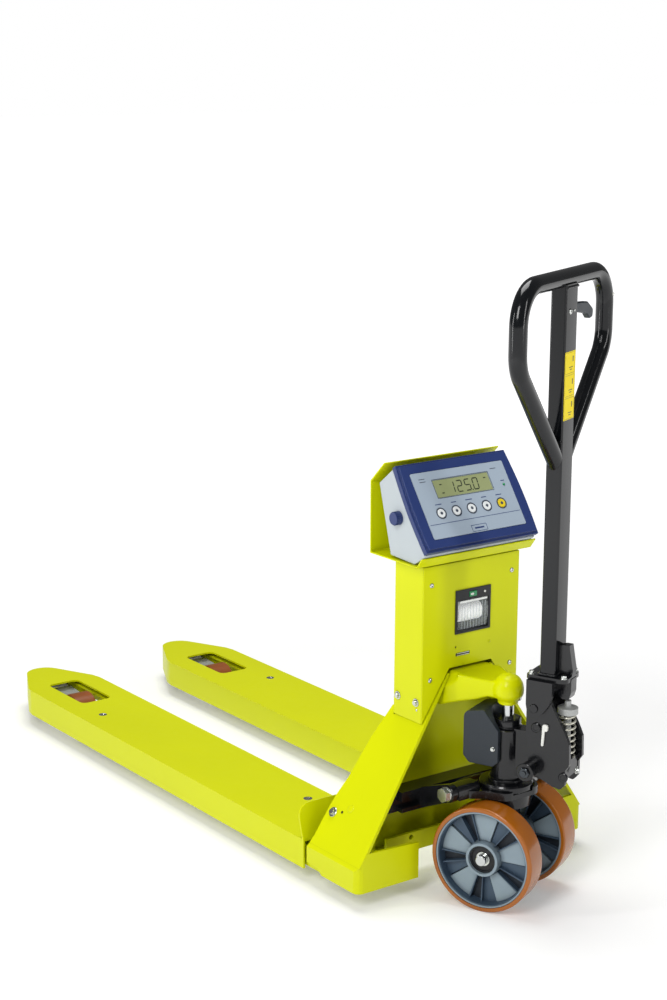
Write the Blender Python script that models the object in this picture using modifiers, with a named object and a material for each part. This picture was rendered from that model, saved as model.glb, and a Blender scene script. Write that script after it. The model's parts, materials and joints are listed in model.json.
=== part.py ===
"""Pallet scale: a hand pallet truck whose fork covers stand on four load cells.

The truck datum is an empty 5 mm behind the frame's rear plates. Its +X runs from the fork
tips to the operator, +Y to the right fork and +Z up from the floor. The steered parts hang
on a second empty on the kingpin axis, whose local X, Y and Z are called S, N and Z below.
"""
import math

import bmesh
import bpy
from mathutils import Matrix, Vector

MM = 0.001                      # every size below is in millimetres
GAP = 0.4                       # between pieces that touch

# Driving dimensions
DATUM_X = 572.0                 # puts the origin under the centre of the whole truck
KINGPIN_X = 80.7
STEER_ANGLE = 24.0              # degrees, how far the steered parts are turned when stored

FORK_Y = 187.6                  # centre line of each fork
FORK_HALF = 90.0
FORK_TOP, FORK_BOTTOM = 84.7, 27.4
FORK_REAR = -173.5
SHOULDER_X, NOSE_X, NOSE_R = -1264.0, -1394.0, 42.0
COVER_SHEET, FORK_SHEET = 4.0, 5.0
INNER_MARGIN = 8.0              # cover's outside to inner fork's outside
INNER_TOP = 71.0
WINDOW = (-1266.0, -1104.0, 38.0)
CELL_FEET = ((-1013.0, 38.4, 1), (-340.0, -39.6, -1))   # X, offset outwards, way to the beam's root

BAND_SLOPE = 1.489              # rise of the sloping frame side for each mm inwards
BAND_ZERO = 490.7               # height of its outer face on the centre plane
BAND_SHEET = 6.0
HEEL_Y = 277.6

ROCKER_PIN = (-150.0, 130.0)    # X, Z of the rocker's pins in the frame
ROCKER_BOLT = (56.0, 214.0)     # X, Z of the bolts that join it to the yoke
LUG_Y = (107.0, 119.0)          # the rocker's lugs, outside the wheels' sweep
SLOT_R, SLOT_LENGTH, SLOT_RISE = 12.3, 17.5, 1.6
ROD_PIN_REAR = (-128.0, 50.0)
ROD_PIN_FRONT = (-1294.9, 25.2)
BRACKET_PIN = (-1334.0, 58.0)
ROLLER = (-1185.0, 40.0)        # X, Z of the load roller's axle
ROLLER_R = 40.0
FORK_SPLIT_X = -1100.0          # where the push rod splits to pass the roller

COLUMN_X = (-111.5, -27.6)
COLUMN_HALF = 115.0
COLUMN_TOP = 621.0
COLUMN_INSIDE = 108.9           # how far forward the frame's top reaches inside the column
PRINTER_Y = 2.5
PANEL_FOOT = (3.0, 657.0)       # X, Z of the display front's lower edge
PANEL_TILT = 54.8               # degrees above level
KEY_ACROSS = (-72.5, -36.5, -0.5, 35.5, 71.5)

WHEEL_R, RIM_R = 100.0, 91.9
WHEEL_N, WHEEL_HALF = 76.0, 25.0
TILT_PIN = (70.0, 386.0)        # S, Z
PLUNGER_S = 118.0
TUBE_S = 86.0
LOOP_HALF, LOOP_TOP, LOOP_R = 187.0, 1156.0, 16.0
LEVER_PIN = (-7.0, 1100.0)      # N, Z

SIDES = {"left": -1, "right": 1}
LOOKS = {                       # base colour, roughness, metallic
    "yellow": ((0.60, 0.66, 0.004), 0.35, 0.0),
    "black": ((0.012, 0.013, 0.015), 0.25, 0.0),
    "dark_grey": ((0.035, 0.04, 0.045), 0.5, 0.0),
    "steel": ((0.62, 0.62, 0.60), 0.3, 1.0),
    "light_grey": ((0.36, 0.42, 0.47), 0.5, 0.0),
    "blue": ((0.04, 0.065, 0.24), 0.45, 0.0),
    "amber": ((0.36, 0.11, 0.02), 0.3, 0.0),
    "hub_grey": ((0.12, 0.17, 0.22), 0.45, 0.4),
    "white": ((0.8, 0.8, 0.78), 0.6, 0.0),
    "green": ((0.0, 0.18, 0.06), 0.4, 0.0),
    "clear": ((0.75, 0.8, 0.8), 0.08, 0.0),
    "key_yellow": ((0.75, 0.52, 0.03), 0.4, 0.0),
}
# Matrices that stand a flat outline in the plane whose normal is the named axis
PLANES = {
    "X": Matrix(((0, 0, 1, 0), (1, 0, 0, 0), (0, 1, 0, 0), (0, 0, 0, 1))),
    "Y": Matrix(((1, 0, 0, 0), (0, 0, -1, 0), (0, 1, 0, 0), (0, 0, 0, 1))),
    "Z": Matrix.Identity(4),
}


# --- scene and shape helpers -------------------------------------------------------------

def clear_scene():
    for obj in list(bpy.data.objects):
        bpy.data.objects.remove(obj, do_unlink=True)


def new_collection(name):
    collection = bpy.data.collections.new(name)
    bpy.context.scene.collection.children.link(collection)
    return collection


clear_scene()
PARTS = new_collection("pallet_scale")
TOOLS = new_collection("cutters_and_joined_shapes")


def new_frame(name, location, parent=None, angle=0.0):
    frame = bpy.data.objects.new(name, None)
    frame.empty_display_size = 0.05
    frame.parent = parent
    frame.location = Vector(location) * MM
    frame.rotation_euler = (0, 0, math.radians(angle))
    PARTS.objects.link(frame)
    return frame


TRUCK = new_frame("truck_datum", (DATUM_X, 0, 0))
STEER = new_frame("kingpin_axis", (KINGPIN_X, 0, 0), TRUCK, STEER_ANGLE)


def shape_from(bm, name="shape"):
    """A mesh object among the cutters, until part() makes it a part."""
    bmesh.ops.recalc_face_normals(bm, faces=bm.faces)
    mesh = bpy.data.meshes.new(name)
    bm.to_mesh(mesh)
    bm.free()
    return hold(bpy.data.objects.new(name, mesh))


def hold(obj):
    obj.hide_render = True
    obj.display_type = "WIRE"
    TOOLS.objects.link(obj)
    return obj


def box(low, high):
    low, high = Vector(low) * MM, Vector(high) * MM
    bm = bmesh.new()
    bmesh.ops.create_cube(bm, size=1.0)
    bmesh.ops.scale(bm, vec=high - low, verts=bm.verts)
    bmesh.ops.translate(bm, vec=(high + low) / 2, verts=bm.verts)
    return shape_from(bm)


def rod(start, end, radius, sides=16, end_radius=None):
    """A cylinder, or a cone when end_radius is given, from start to end."""
    start, end = Vector(start) * MM, Vector(end) * MM
    bm = bmesh.new()
    bmesh.ops.create_cone(
        bm, cap_ends=True, segments=sides, radius1=radius * MM,
        radius2=(radius if end_radius is None else end_radius) * MM,
        depth=(end - start).length)
    turn = (end - start).to_track_quat("Z", "Y").to_matrix().to_4x4()
    bmesh.ops.transform(bm, matrix=Matrix.Translation((start + end) / 2) @ turn, verts=bm.verts)
    return shape_from(bm)


def curve_to_shape(curve, placement):
    guide = bpy.data.objects.new("guide", curve)
    TOOLS.objects.link(guide)
    depsgraph = bpy.context.evaluated_depsgraph_get()
    mesh = bpy.data.meshes.new_from_object(guide.evaluated_get(depsgraph))
    bpy.data.objects.remove(guide, do_unlink=True)
    bm = bmesh.new()
    bm.from_mesh(mesh)
    bpy.data.meshes.remove(mesh)
    bmesh.ops.remove_doubles(bm, verts=bm.verts, dist=0.00001)
    bmesh.ops.transform(bm, matrix=placement, verts=bm.verts)
    return shape_from(bm)


def plate(outline, axis, low, high, placement=None):
    """A flat outline extruded along X, Y or Z, or along a placement's own Z, from low to high."""
    curve = bpy.data.curves.new("outline", "CURVE")
    curve.dimensions = "2D"
    curve.fill_mode = "BOTH"
    curve.extrude = abs(high - low) / 2 * MM
    spline = curve.splines.new("POLY")
    spline.points.add(len(outline) - 1)
    for point, (x, y) in zip(spline.points, outline):
        point.co = (x * MM, y * MM, 0, 1)
    spline.use_cyclic_u = True
    middle = (low + high) / 2 * MM
    if placement is not None:
        return curve_to_shape(curve, placement @ Matrix.Translation((0, 0, middle)))
    shift = Matrix.Translation(Vector({"X": (1, 0, 0), "Y": (0, 1, 0), "Z": (0, 0, 1)}[axis]) * middle)
    return curve_to_shape(curve, shift @ PLANES[axis])


def tube(points, radius, resolution=3):
    curve = bpy.data.curves.new("tube", "CURVE")
    curve.dimensions = "3D"
    curve.bevel_depth = radius * MM
    curve.bevel_resolution = resolution
    curve.use_fill_caps = True
    spline = curve.splines.new("POLY")
    spline.points.add(len(points) - 1)
    for point, place in zip(spline.points, points):
        point.co = (*(Vector(place) * MM), 1)
    return curve_to_shape(curve, Matrix.Identity(4))


def turned(profile, place, turn=None, steps=32, ring=False):
    """A profile of (radius, height) points, listed down its outer side, spun about Z."""
    bm = bmesh.new()
    points = [bm.verts.new((radius * MM, 0, height * MM)) for radius, height in profile]
    for first, second in zip(points, points[1:]):
        bm.edges.new((first, second))
    if ring:
        bm.edges.new((points[-1], points[0]))
    mesh = bpy.data.meshes.new("profile")
    bm.to_mesh(mesh)
    bm.free()
    obj = hold(bpy.data.objects.new("turned", mesh))
    obj.location = Vector(place) * MM
    if turn is not None:
        obj.rotation_euler = turn
    screw = obj.modifiers.new("spin", "SCREW")
    screw.axis = "Z"
    screw.steps = screw.render_steps = steps
    screw.use_merge_vertices = True
    screw.merge_threshold = 0.00001
    return obj


def combine(base, operation, tools):
    for tool in tools:
        step = base.modifiers.new(operation.lower(), "BOOLEAN")
        step.operation = operation
        step.solver = "EXACT"
        step.object = tool
    return base


def join(base, *tools):
    return combine(base, "UNION", tools)


def cut(base, *tools):
    return combine(base, "DIFFERENCE", tools)


def attach(obj, frame):
    obj.parent = frame
    for step in obj.modifiers:
        if step.type == "BOOLEAN":
            attach(step.object, frame)


def move_origin(obj, point):
    """Puts the object's origin on its joint's axis and leaves its shape where it was."""
    shift = Vector(point) * MM - obj.location
    obj.data.transform(Matrix.Translation(-shift))
    obj.location += shift


def part(name, shape, look, frame=TRUCK, origin=None):
    TOOLS.objects.unlink(shape)
    PARTS.objects.link(shape)
    shape.name = name
    shape.hide_render = False
    shape.display_type = "TEXTURED"
    colour, roughness, metallic = LOOKS[look]
    material = bpy.data.materials.new(name + "_" + look)
    material.use_nodes = True
    shader = material.node_tree.nodes["Principled BSDF"]
    shader.inputs["Base Color"].default_value = (*colour, 1)
    shader.inputs["Roughness"].default_value = roughness
    shader.inputs["Metallic"].default_value = metallic
    shape.data.materials.append(material)
    if shape.data.polygons:
        shape.data.shade_smooth()
        shape.data.set_sharp_from_angle(angle=math.radians(35))
    attach(shape, frame)
    if origin is not None:
        move_origin(shape, origin)
    return shape


# --- outline helpers ----------------------------------------------------------------------

def arc(centre, radius, start, end, steps=6):
    """Points on a circle from the start angle to the end angle, in degrees."""
    points = []
    for step in range(steps + 1):
        angle = math.radians(start + (end - start) * step / steps)
        points.append((centre[0] + radius * math.cos(angle), centre[1] + radius * math.sin(angle)))
    return points


def rounded(corners, steps=3):
    """The outline through corners given as (x, y) or, where it is round, (x, y, radius)."""
    points = []
    for index, corner in enumerate(corners):
        here = Vector(corner[:2])
        if len(corner) == 2:
            points.append(tuple(here))
            continue
        radius = corner[2]
        before = (Vector(corners[index - 1][:2]) - here).normalized()
        after = (Vector(corners[(index + 1) % len(corners)][:2]) - here).normalized()
        half = before.angle(after) / 2
        centre = here + (before + after).normalized() * radius / math.sin(half)
        start = here + before * radius / math.tan(half) - centre
        end = here + after * radius / math.tan(half) - centre
        sweep = start.angle(end)
        for step in range(steps + 1):
            share = step / steps
            spoke = start * math.sin((1 - share) * sweep) + end * math.sin(share * sweep)
            points.append(tuple(centre + spoke / math.sin(sweep)))
    return points


def strip(path, thickness):
    """The edge-on outline of a bent sheet: a path, and the same path moved to its left."""
    left = []
    for index, here in enumerate(path):
        here = Vector(here)
        normals = []
        for first, second in ((index - 1, index), (index, index + 1)):
            if first >= 0 and second < len(path):
                along = (Vector(path[second]) - Vector(path[first])).normalized()
                normals.append(Vector((-along.y, along.x)))
        middle = sum(normals, Vector((0, 0))).normalized()
        left.append(tuple(here + middle * thickness / middle.dot(normals[0])))
    return [tuple(point) for point in path] + left[::-1]


def mirrored(half):
    """Both halves of an outline that is symmetric about its second coordinate's zero."""
    return half + [(x, -y) for x, y in reversed(half)]


# --- forks --------------------------------------------------------------------------------

def fork_outline(margin, rear, side):
    """Plan of a fork: straight sides, a tapering tip and a round nose."""
    shoulder, nose = Vector((SHOULDER_X, FORK_HALF)), Vector((NOSE_X + NOSE_R, 0))
    reach = nose - shoulder
    taper = math.asin(-reach.y / reach.length) - math.asin(NOSE_R / reach.length)
    width = FORK_HALF - margin
    half = [(rear, width)]
    bend = (SHOULDER_X + margin * math.tan(taper / 2), width)
    half += [(bend[0] + 14, width), (bend[0] - 12 * math.cos(taper), width - 12 * math.sin(taper))]
    half += arc(nose, NOSE_R - margin, 90 + math.degrees(taper), 180, 6)[:-1]
    nose_point = [(nose.x - NOSE_R + margin, 0.0)]
    outline = half + nose_point + [(x, -y) for x, y in reversed(half)]
    return [(x, side * FORK_Y + y) for x, y in outline]


def fork_box(side, low, high):
    """A box placed by its offsets from the fork's centre line."""
    centre = side * FORK_Y
    return box((low[0], centre + low[1], low[2]), (high[0], centre + high[1], high[2]))


def fork_cover(side):
    """The weighing cover: a folded channel with the roller window and the rear stop flange.

    The flange leans over the load face, and its fold has an inside radius."""
    cover = plate(fork_outline(0, FORK_REAR, side), "Z", FORK_BOTTOM, FORK_TOP)
    hollow = plate(fork_outline(COVER_SHEET, FORK_REAR + 20, side), "Z", 0, FORK_TOP - COVER_SHEET)
    front, rear, half = WINDOW
    centre = side * FORK_Y
    window = plate(rounded([(front, centre - half, 13), (rear, centre - half, 13),
                            (rear, centre + half, 13), (front, centre + half, 13)]), "Z", 60, 100)
    lean = math.atan2(18.5, 64.0)
    stand = Matrix.Translation(Vector((FORK_REAR, centre, FORK_TOP - 2)) * MM)
    stand = stand @ Matrix.Rotation(-lean, 4, "Y") @ PLANES["X"]
    stop = rounded([(-FORK_HALF, 0), (FORK_HALF, 0), (FORK_HALF, 69, 27), (-FORK_HALF, 69, 27)], 5)
    flange = plate(stop, None, -COVER_SHEET, 0, stand)
    fold = plate([(FORK_REAR - 9, FORK_TOP - 1.2), (FORK_REAR - 6.2, FORK_TOP + 0.7),
                  (FORK_REAR - 4.9, FORK_TOP + 2.6), (FORK_REAR - 3, FORK_TOP + 2.6),
                  (FORK_REAR - 3, FORK_TOP - 1.2)], "Y",
                 centre - FORK_HALF - 0.05, centre + FORK_HALF + 0.05)
    return join(cut(cover, hollow, window), flange, fold)


def inner_fork(side):
    """The truck's own fork: a narrower channel that carries the load cells and the roller."""
    rear = -109.0
    shape = plate(fork_outline(INNER_MARGIN, rear, side), "Z", 32, INNER_TOP)
    hollow = plate(fork_outline(INNER_MARGIN + FORK_SHEET, rear + 20, side), "Z", 0,
                   INNER_TOP - FORK_SHEET)
    window = fork_box(side, (-1352, -42, 60), (-1085, 42, 90))
    notch = fork_box(side, (-192, -30, 60), (-90, 20, 90))
    pin_hole = rod((BRACKET_PIN[0], side * FORK_Y - 70, BRACKET_PIN[1]),
                   (BRACKET_PIN[0], side * FORK_Y + 70, BRACKET_PIN[1]), 7.4)
    holes = [rod((x, side * (FORK_Y + offset), 60), (x, side * (FORK_Y + offset), 90), 12)
             for x, offset, _ in CELL_FEET]
    return cut(shape, hollow, window, notch, pin_hole, *holes)




def load_cell(side, foot):
    """A bending-beam cell under the inner fork; its foot passes through to carry the cover."""
    x, offset, way = foot
    y = side * (FORK_Y + offset)
    under = INNER_TOP - FORK_SHEET - GAP
    beam = box((min(x - 15 * way, x + 115 * way), y - 15, 43.5),
               (max(x - 15 * way, x + 115 * way), y + 15, under))
    waist = rod((x + 50 * way, y - 20, 54.5), (x + 50 * way, y + 20, 54.5), 7.5)
    post = rod((x, y, under - 5), (x, y, FORK_TOP - COVER_SHEET - GAP), 9)
    foot_nut = rod((x, y, 22), (x, y, 48), 9, 6)
    return join(cut(beam, waist), post, foot_nut)


# --- frame --------------------------------------------------------------------------------

def band_y(z, inside=0.0):
    """Distance of the sloping side from the centre plane at a height; inside moves it inwards."""
    across = math.hypot(1, BAND_SLOPE) / BAND_SLOPE
    return (BAND_ZERO - z) / BAND_SLOPE - inside * across


def side_frame(side):
    """One bent plate: heel side, rounded rear corner, rear plate and the sloping side above."""
    fold_z = BAND_ZERO - BAND_SLOPE * HEEL_Y
    rise = BAND_SLOPE / math.hypot(1, BAND_SLOPE)

    def up(z):
        return (z - fold_z) / rise

    slope = Matrix(((1, 0, 0, 0), (0, -rise / BAND_SLOPE, rise, 0),
                    (0, rise, rise / BAND_SLOPE, 0), (0, 0, 0, 1)))
    if side < 0:
        slope = Matrix.Diagonal((1, -1, 1, 1)) @ slope
    slope = Matrix.Translation(Vector((0, side * HEEL_Y, fold_z)) * MM) @ slope
    band_edge = [(-5.5, up(84)), (-5.5, up(108)), (-21, up(322)), (-27.6, up(410.6)),
                 (-COLUMN_INSIDE, up(410.6)), (-COLUMN_INSIDE, up(320)), (-112.5, up(320)),
                 (-112.5, up(333)), (-125, up(333)), (-139, up(269)), (-145, up(202)),
                 (-153, up(170)), (-156, up(146)), (-157, up(99)), (-160, up(84))]
    band = plate(band_edge, None, -BAND_SHEET, 0, slope)

    outer = rounded([(-163, HEEL_Y), (-5, HEEL_Y, 13), (-5, 135), (-11, 135),
                     (-11, HEEL_Y - BAND_SHEET, 6), (-163, HEEL_Y - BAND_SHEET)])
    wall = plate([(x, side * y) for x, y in outer], "Z", 33, 114)
    across = (side * 120, side * (HEEL_Y + 10))
    low, high = min(across), max(across)
    front_foot = plate([(-170, 20), (-100, 20), (-120, 36), (-128, 43), (-149, 44), (-166, 45)], "Y",
                       low, high)
    front_top = plate([(-164, 72), (-164, 120), (-140, 120), (-151, 90), (-160, 84)], "Y", low, high)
    rear_top = plate([(side * 120, 102), (side * 262, 109), (side * 262, 130), (side * 120, 130)],
                     "X", -20, 0)
    above = plate([(side * band_y(60, 0.6), 60), (side * (band_y(60) + 20), 60),
                   (side * 290, 130), (side * band_y(130, 0.6), 130)], "X", -200, 10)
    return join(cut(wall, front_foot, front_top, rear_top, above), band)




def cross_frame():
    """Front plate between the sloping sides, the low rear channel, and the rocker's pins."""
    top = 408
    half = [(HEEL_Y - BAND_SHEET - 1, 52), (HEEL_Y - BAND_SHEET - 1, 70), (band_y(84, 8), 84),
            (band_y(top, 8), top)]
    wall = plate([(y, z) for y, z in half] + [(-y, z) for y, z in reversed(half)], "X", -108, -102)
    floor = box((-104, -165, 58), (-64, 165, 64))
    rear = box((-70, -165, 58), (-64, 165, 95))
    pieces = [floor, rear]
    cuts = []
    for side in SIDES.values():
        low, high = sorted((side * 165, side * 197))
        cuts.append(box((-120, low, 96), (-90, high, 214)))
        pin = rod((ROCKER_PIN[0], side * 158, ROCKER_PIN[1]),
                  (ROCKER_PIN[0], side * 206, ROCKER_PIN[1]), 9)
        pieces.append(pin)
        for near, far in ((158, 164), (198, 204)):
            low, high = sorted((side * near, side * far))
            cheek = rounded([(-166, 118, 8), (-166, 148, 14), (-132, 152, 6), (-105, 165),
                             (-105, 84), (-120, 84, 6)])
            pieces.append(plate(cheek, "Y", low, high))
        cuts.append(rod((-80, side * 106, 86), (-50, side * 106, 86), 5, 12))
        rod_gap = sorted((side * 176, side * 200))
        cuts.append(box((-120, rod_gap[0], 40), (-90, rod_gap[1], 64)))
    return cut(join(wall, *pieces), *cuts)


# --- column -------------------------------------------------------------------------------

def arch(margin):
    """Half outline of the opening under the column, which follows the sloping sides."""
    return [(50 + margin, 418 + margin), (band_y(300) + margin, 300), (140, 290)]


def column_housing():
    """Folded sheet box, open to the operator's side and below."""
    front, back = COLUMN_X
    shell = box((front, -COLUMN_HALF, 300), (back - 2.4, COLUMN_HALF, COLUMN_TOP))
    hollow = box((front + 2, -COLUMN_HALF + 2, 280), (back + 20, COLUMN_HALF - 2, COLUMN_TOP - 2))
    opening = mirrored([(z, y) for y, z in arch(1.0)])
    under = plate([(y, z) for z, y in opening], "X", -130, 20)
    cable_hole = rod((-75, 0, COLUMN_TOP - 10), (-75, 0, COLUMN_TOP + 10), 14)
    return cut(shell, hollow, under, cable_hole)


def column_cover():
    """Rear panel with the printer window, the card slot and a small hole beside it."""
    back = COLUMN_X[1]
    panel = box((back - 2, -COLUMN_HALF, 300), (back, COLUMN_HALF, COLUMN_TOP - 0.5))
    opening = mirrored([(z, y) for y, z in arch(1.0)])
    under = plate([(y, z) for z, y in opening], "X", -130, 20)
    window = box((back - 10, -39, 483), (back + 10, 44, 565))
    slot = box((back - 10, -36, 439), (back + 10, -2, 445))
    hole = rod((back - 10, -36, 457), (back + 10, -36, 457), 2, 12)
    return cut(panel, under, window, slot, hole)


def indicator_bracket():
    """One sheet bent behind, under and in front of the display unit."""
    path = [(-121, 803), (-162, 762.7), (-161, 624.5), (-21, 624.5), (-7, 643)]
    return plate(strip(path, 3), "Y", -137, 137)


def battery_pack():
    return box((-100, -72, 425), (-62, 72, 476))


# --- printer ------------------------------------------------------------------------------



def printer_box(low, high):
    return box((low[0], PRINTER_Y + low[1], low[2]), (high[0], PRINTER_Y + high[1], high[2]))


def printer_frame():
    """Body in the column and a thin front flange, open where the paper door sits."""
    back = COLUMN_X[1]
    flange = printer_box((back + GAP, -42.5, 482), (back + 2, 42.5, 566))
    body = printer_box((back - 46, -40.5, 484), (back + 1, 40.5, 564))
    mouth = printer_box((back - 42, -37, 487), (back + 10, 37, 545))
    lamp = rod((back - 8, PRINTER_Y + 28, 555), (back + 10, PRINTER_Y + 28, 555), 2.4, 12)
    button = printer_box((back - 8, -10, 549.5), (back + 10, 8, 560.5))
    return cut(join(flange, body), mouth, lamp, button)


def printer_door():
    """Clear curved door, hinged along its lower edge."""
    back = COLUMN_X[1]
    bulge = [(back - 2 + 5 * math.sin(math.pi * step / 6), 489 + 54 * step / 6)
             for step in range(7)]
    shell = plate(strip(bulge, 1.6), "Y", PRINTER_Y - 35.5, PRINTER_Y + 35.5)
    hinge = rod((back - 3, PRINTER_Y - 35.5, 490), (back - 3, PRINTER_Y + 35.5, 490), 1.8, 12)
    return join(shell, hinge)


def paper_roll():
    back = COLUMN_X[1]
    roll = rod((back - 22.5, PRINTER_Y - 28.5, 516), (back - 22.5, PRINTER_Y + 28.5, 516), 18.5, 32)
    core = rod((back - 22.5, PRINTER_Y - 40, 516), (back - 22.5, PRINTER_Y + 40, 516), 6)
    return cut(roll, core)


def feed_button():
    back = COLUMN_X[1]
    return printer_box((back - 6, -9.5, 550), (back + 3.2, 7.5, 560))


# --- display unit -------------------------------------------------------------------------

def panel_frame():
    """Stands outlines on the sloping front: x across, y up the slope, z out of it."""
    tilt = math.radians(PANEL_TILT)
    up, out = (-math.cos(tilt), 0, math.sin(tilt)), (math.sin(tilt), 0, math.cos(tilt))
    turn = Matrix(((0, up[0], out[0], 0), (1, 0, 0, 0), (0, up[2], out[2], 0), (0, 0, 0, 1)))
    return Matrix.Translation(Vector((PANEL_FOOT[0], 0, PANEL_FOOT[1])) * MM) @ turn


PANEL = panel_frame()
KEY_UP, KEY_R = 69.0, 8.6


def panel_rect(across, low, high, inner, outer, radius=3):
    corners = [(-across, low, radius), (across, low, radius), (across, high, radius),
               (-across, high, radius)]
    return plate(rounded(corners), None, inner, outer, PANEL)


def panel_place(across, up, out):
    return (PANEL @ (Vector((across, up, out)) * MM)) / MM


def indicator_housing():
    """Wedge-shaped case behind the front, open towards it."""
    profile = [(-104.5, 791.5), (-142, 761), (-105.5, 631.5), (-36, 628.2), (-2.5, 650.0)]
    case = plate(profile, "Y", -131, 131)
    hollow = plate([(-100, 800), (-136, 758), (-102.5, 636), (-38, 634), (10, 662)], "Y",
                   -127.5, 127.5)
    front = plate([(-200, -30), (200, -30), (200, 220), (-200, 220)], None, -10.0, 60, PANEL)
    knobs = rod((-83, -150, 706), (-83, 150, 706), 6.5)
    return cut(case, hollow, front, knobs)


def bezel_outline(inset=0.0):
    """Front outline with straight ends and slightly bowed sides."""
    top, bow = 174.5, 4.0
    right = []
    for step in range(9):
        share = step / 8
        half = 134 - 3.5 * share + bow * math.sin(math.pi * share)
        right.append((half - inset, inset + (top - 2 * inset) * share))
    return right + [(-x, y) for x, y in reversed(right)]


def indicator_bezel():
    """Blue front frame, stepped so that its inner part stands proud."""
    base = plate(bezel_outline(), None, -9.6, 0, PANEL)
    crown = plate(bezel_outline(5), None, -2, 5, PANEL)
    window = panel_rect(110.4, 21.2, 152.6, 3.4, 20)
    well = panel_rect(100, 30, 145, -20, 20)
    return cut(join(base, crown), window, well)


def indicator_panel():
    """Front sheet with openings for the display, the keys and the lamp."""
    sheet = panel_rect(110, 21.6, 152.2, 3.8, 5.4)
    screen = panel_rect(66, 98.4, 134.0, 0, 20, 1)
    lamp = rod(panel_place(93.5, 104.5, 0), panel_place(93.5, 104.5, 20), 2.6, 12)
    keys = [rod(panel_place(x, KEY_UP, 0), panel_place(x, KEY_UP, 20), KEY_R + 0.5)
            for x in KEY_ACROSS]
    return cut(sheet, screen, lamp, *keys)


def indicator_display():
    return panel_rect(65.5, 98.9, 133.5, -3.5, 4.9, 1)


def indicator_board():
    board = panel_rect(98, 32, 143, -6.4, -4.4)
    chip = panel_rect(20, 40, 60, -4.8, -3.9, 1)
    lamp = rod(panel_place(93.5, 104.5, -5), panel_place(93.5, 104.5, 5.6), 2.1, 12)
    return join(board, chip, lamp)


def key(index):
    x = KEY_ACROSS[index]
    cap = rod(panel_place(x, KEY_UP, 1.5), panel_place(x, KEY_UP, 6.6), KEY_R, 24)
    stem = rod(panel_place(x, KEY_UP, -0.6), panel_place(x, KEY_UP, 2), 3.5, 12)
    return join(cap, stem)


def side_knob(side):
    """Ribbed clamping knob that lets the display unit tip in its bracket."""
    y = side * 131.4
    stem = rod((-83, side * 122, 706), (-83, y + side, 706), 5.8)
    cap = rod((-83, y, 706), (-83, y + side * 13, 706), 13, 24, 11.5)
    return join(cap, stem)


# --- crosshead and rocker -----------------------------------------------------------------

def crosshead():
    """Casting from between the frame's sloping sides out to the kingpin boss."""
    plan = [(-101.5, 60), (-60, 66), (-30, 62), (0, 50), (30, 40), (KINGPIN_X - 12, 25)]
    plan += arc((KINGPIN_X, 0), 24, 100, 0, 5)[:-1]
    outline = plan + [(KINGPIN_X + 24, 0.0)] + [(x, -y) for x, y in reversed(plan)]
    body = plate(outline, "Z", 340, 414)
    belly = plate([(-120, 330), (-120, 346), (-40, 347), (0, 362), (30, 371), (55, 382), (130, 382),
                   (130, 330)], "Y", -120, 120)
    boss_top = turned([(0, 429), (12, 427), (21, 421), (27, 411), (29, 400), (28.5, 390), (24, 383.5),
                       (19, 380), (19, 371), (0, 371)], (KINGPIN_X, 0, 0))
    sides = []
    for side in SIDES.values():
        slab = [(side * band_y(300, 7), 300), (side * band_y(440, 7), 440), (side * 260, 440),
                (side * 260, 300)]
        sides.append(plate(slab, "X", -140, -5))
    socket = rod((KINGPIN_X, 0, 360), (KINGPIN_X, 0, 390), 11.4, 24)
    return cut(join(cut(body, belly, *sides), boss_top), socket)


def piston_rod():
    return rod((KINGPIN_X, 0, 190), (KINGPIN_X, 0, 389.6), 11, 24)


def wheel_sweep():
    """The ring that the steered wheels pass through, 2 mm larger all round."""
    inner, outer = WHEEL_N - WHEEL_HALF - 2, WHEEL_N + WHEEL_HALF
    reach = math.hypot(outer, WHEEL_R)
    tops = [(outer - 2, WHEEL_R * 2 + 2)]
    for step in range(1, 9):
        radius = outer + (reach - outer) * step / 8
        height = WHEEL_R + math.sqrt(max(reach ** 2 - radius ** 2, 0))
        tops.append((radius + 2, height + 2))
    profile = [(inner, WHEEL_R * 2 + 2)] + tops + [(reach + 2, 0), (inner, 0)]
    return turned(profile, (KINGPIN_X, 0, 0), ring=True)


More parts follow.
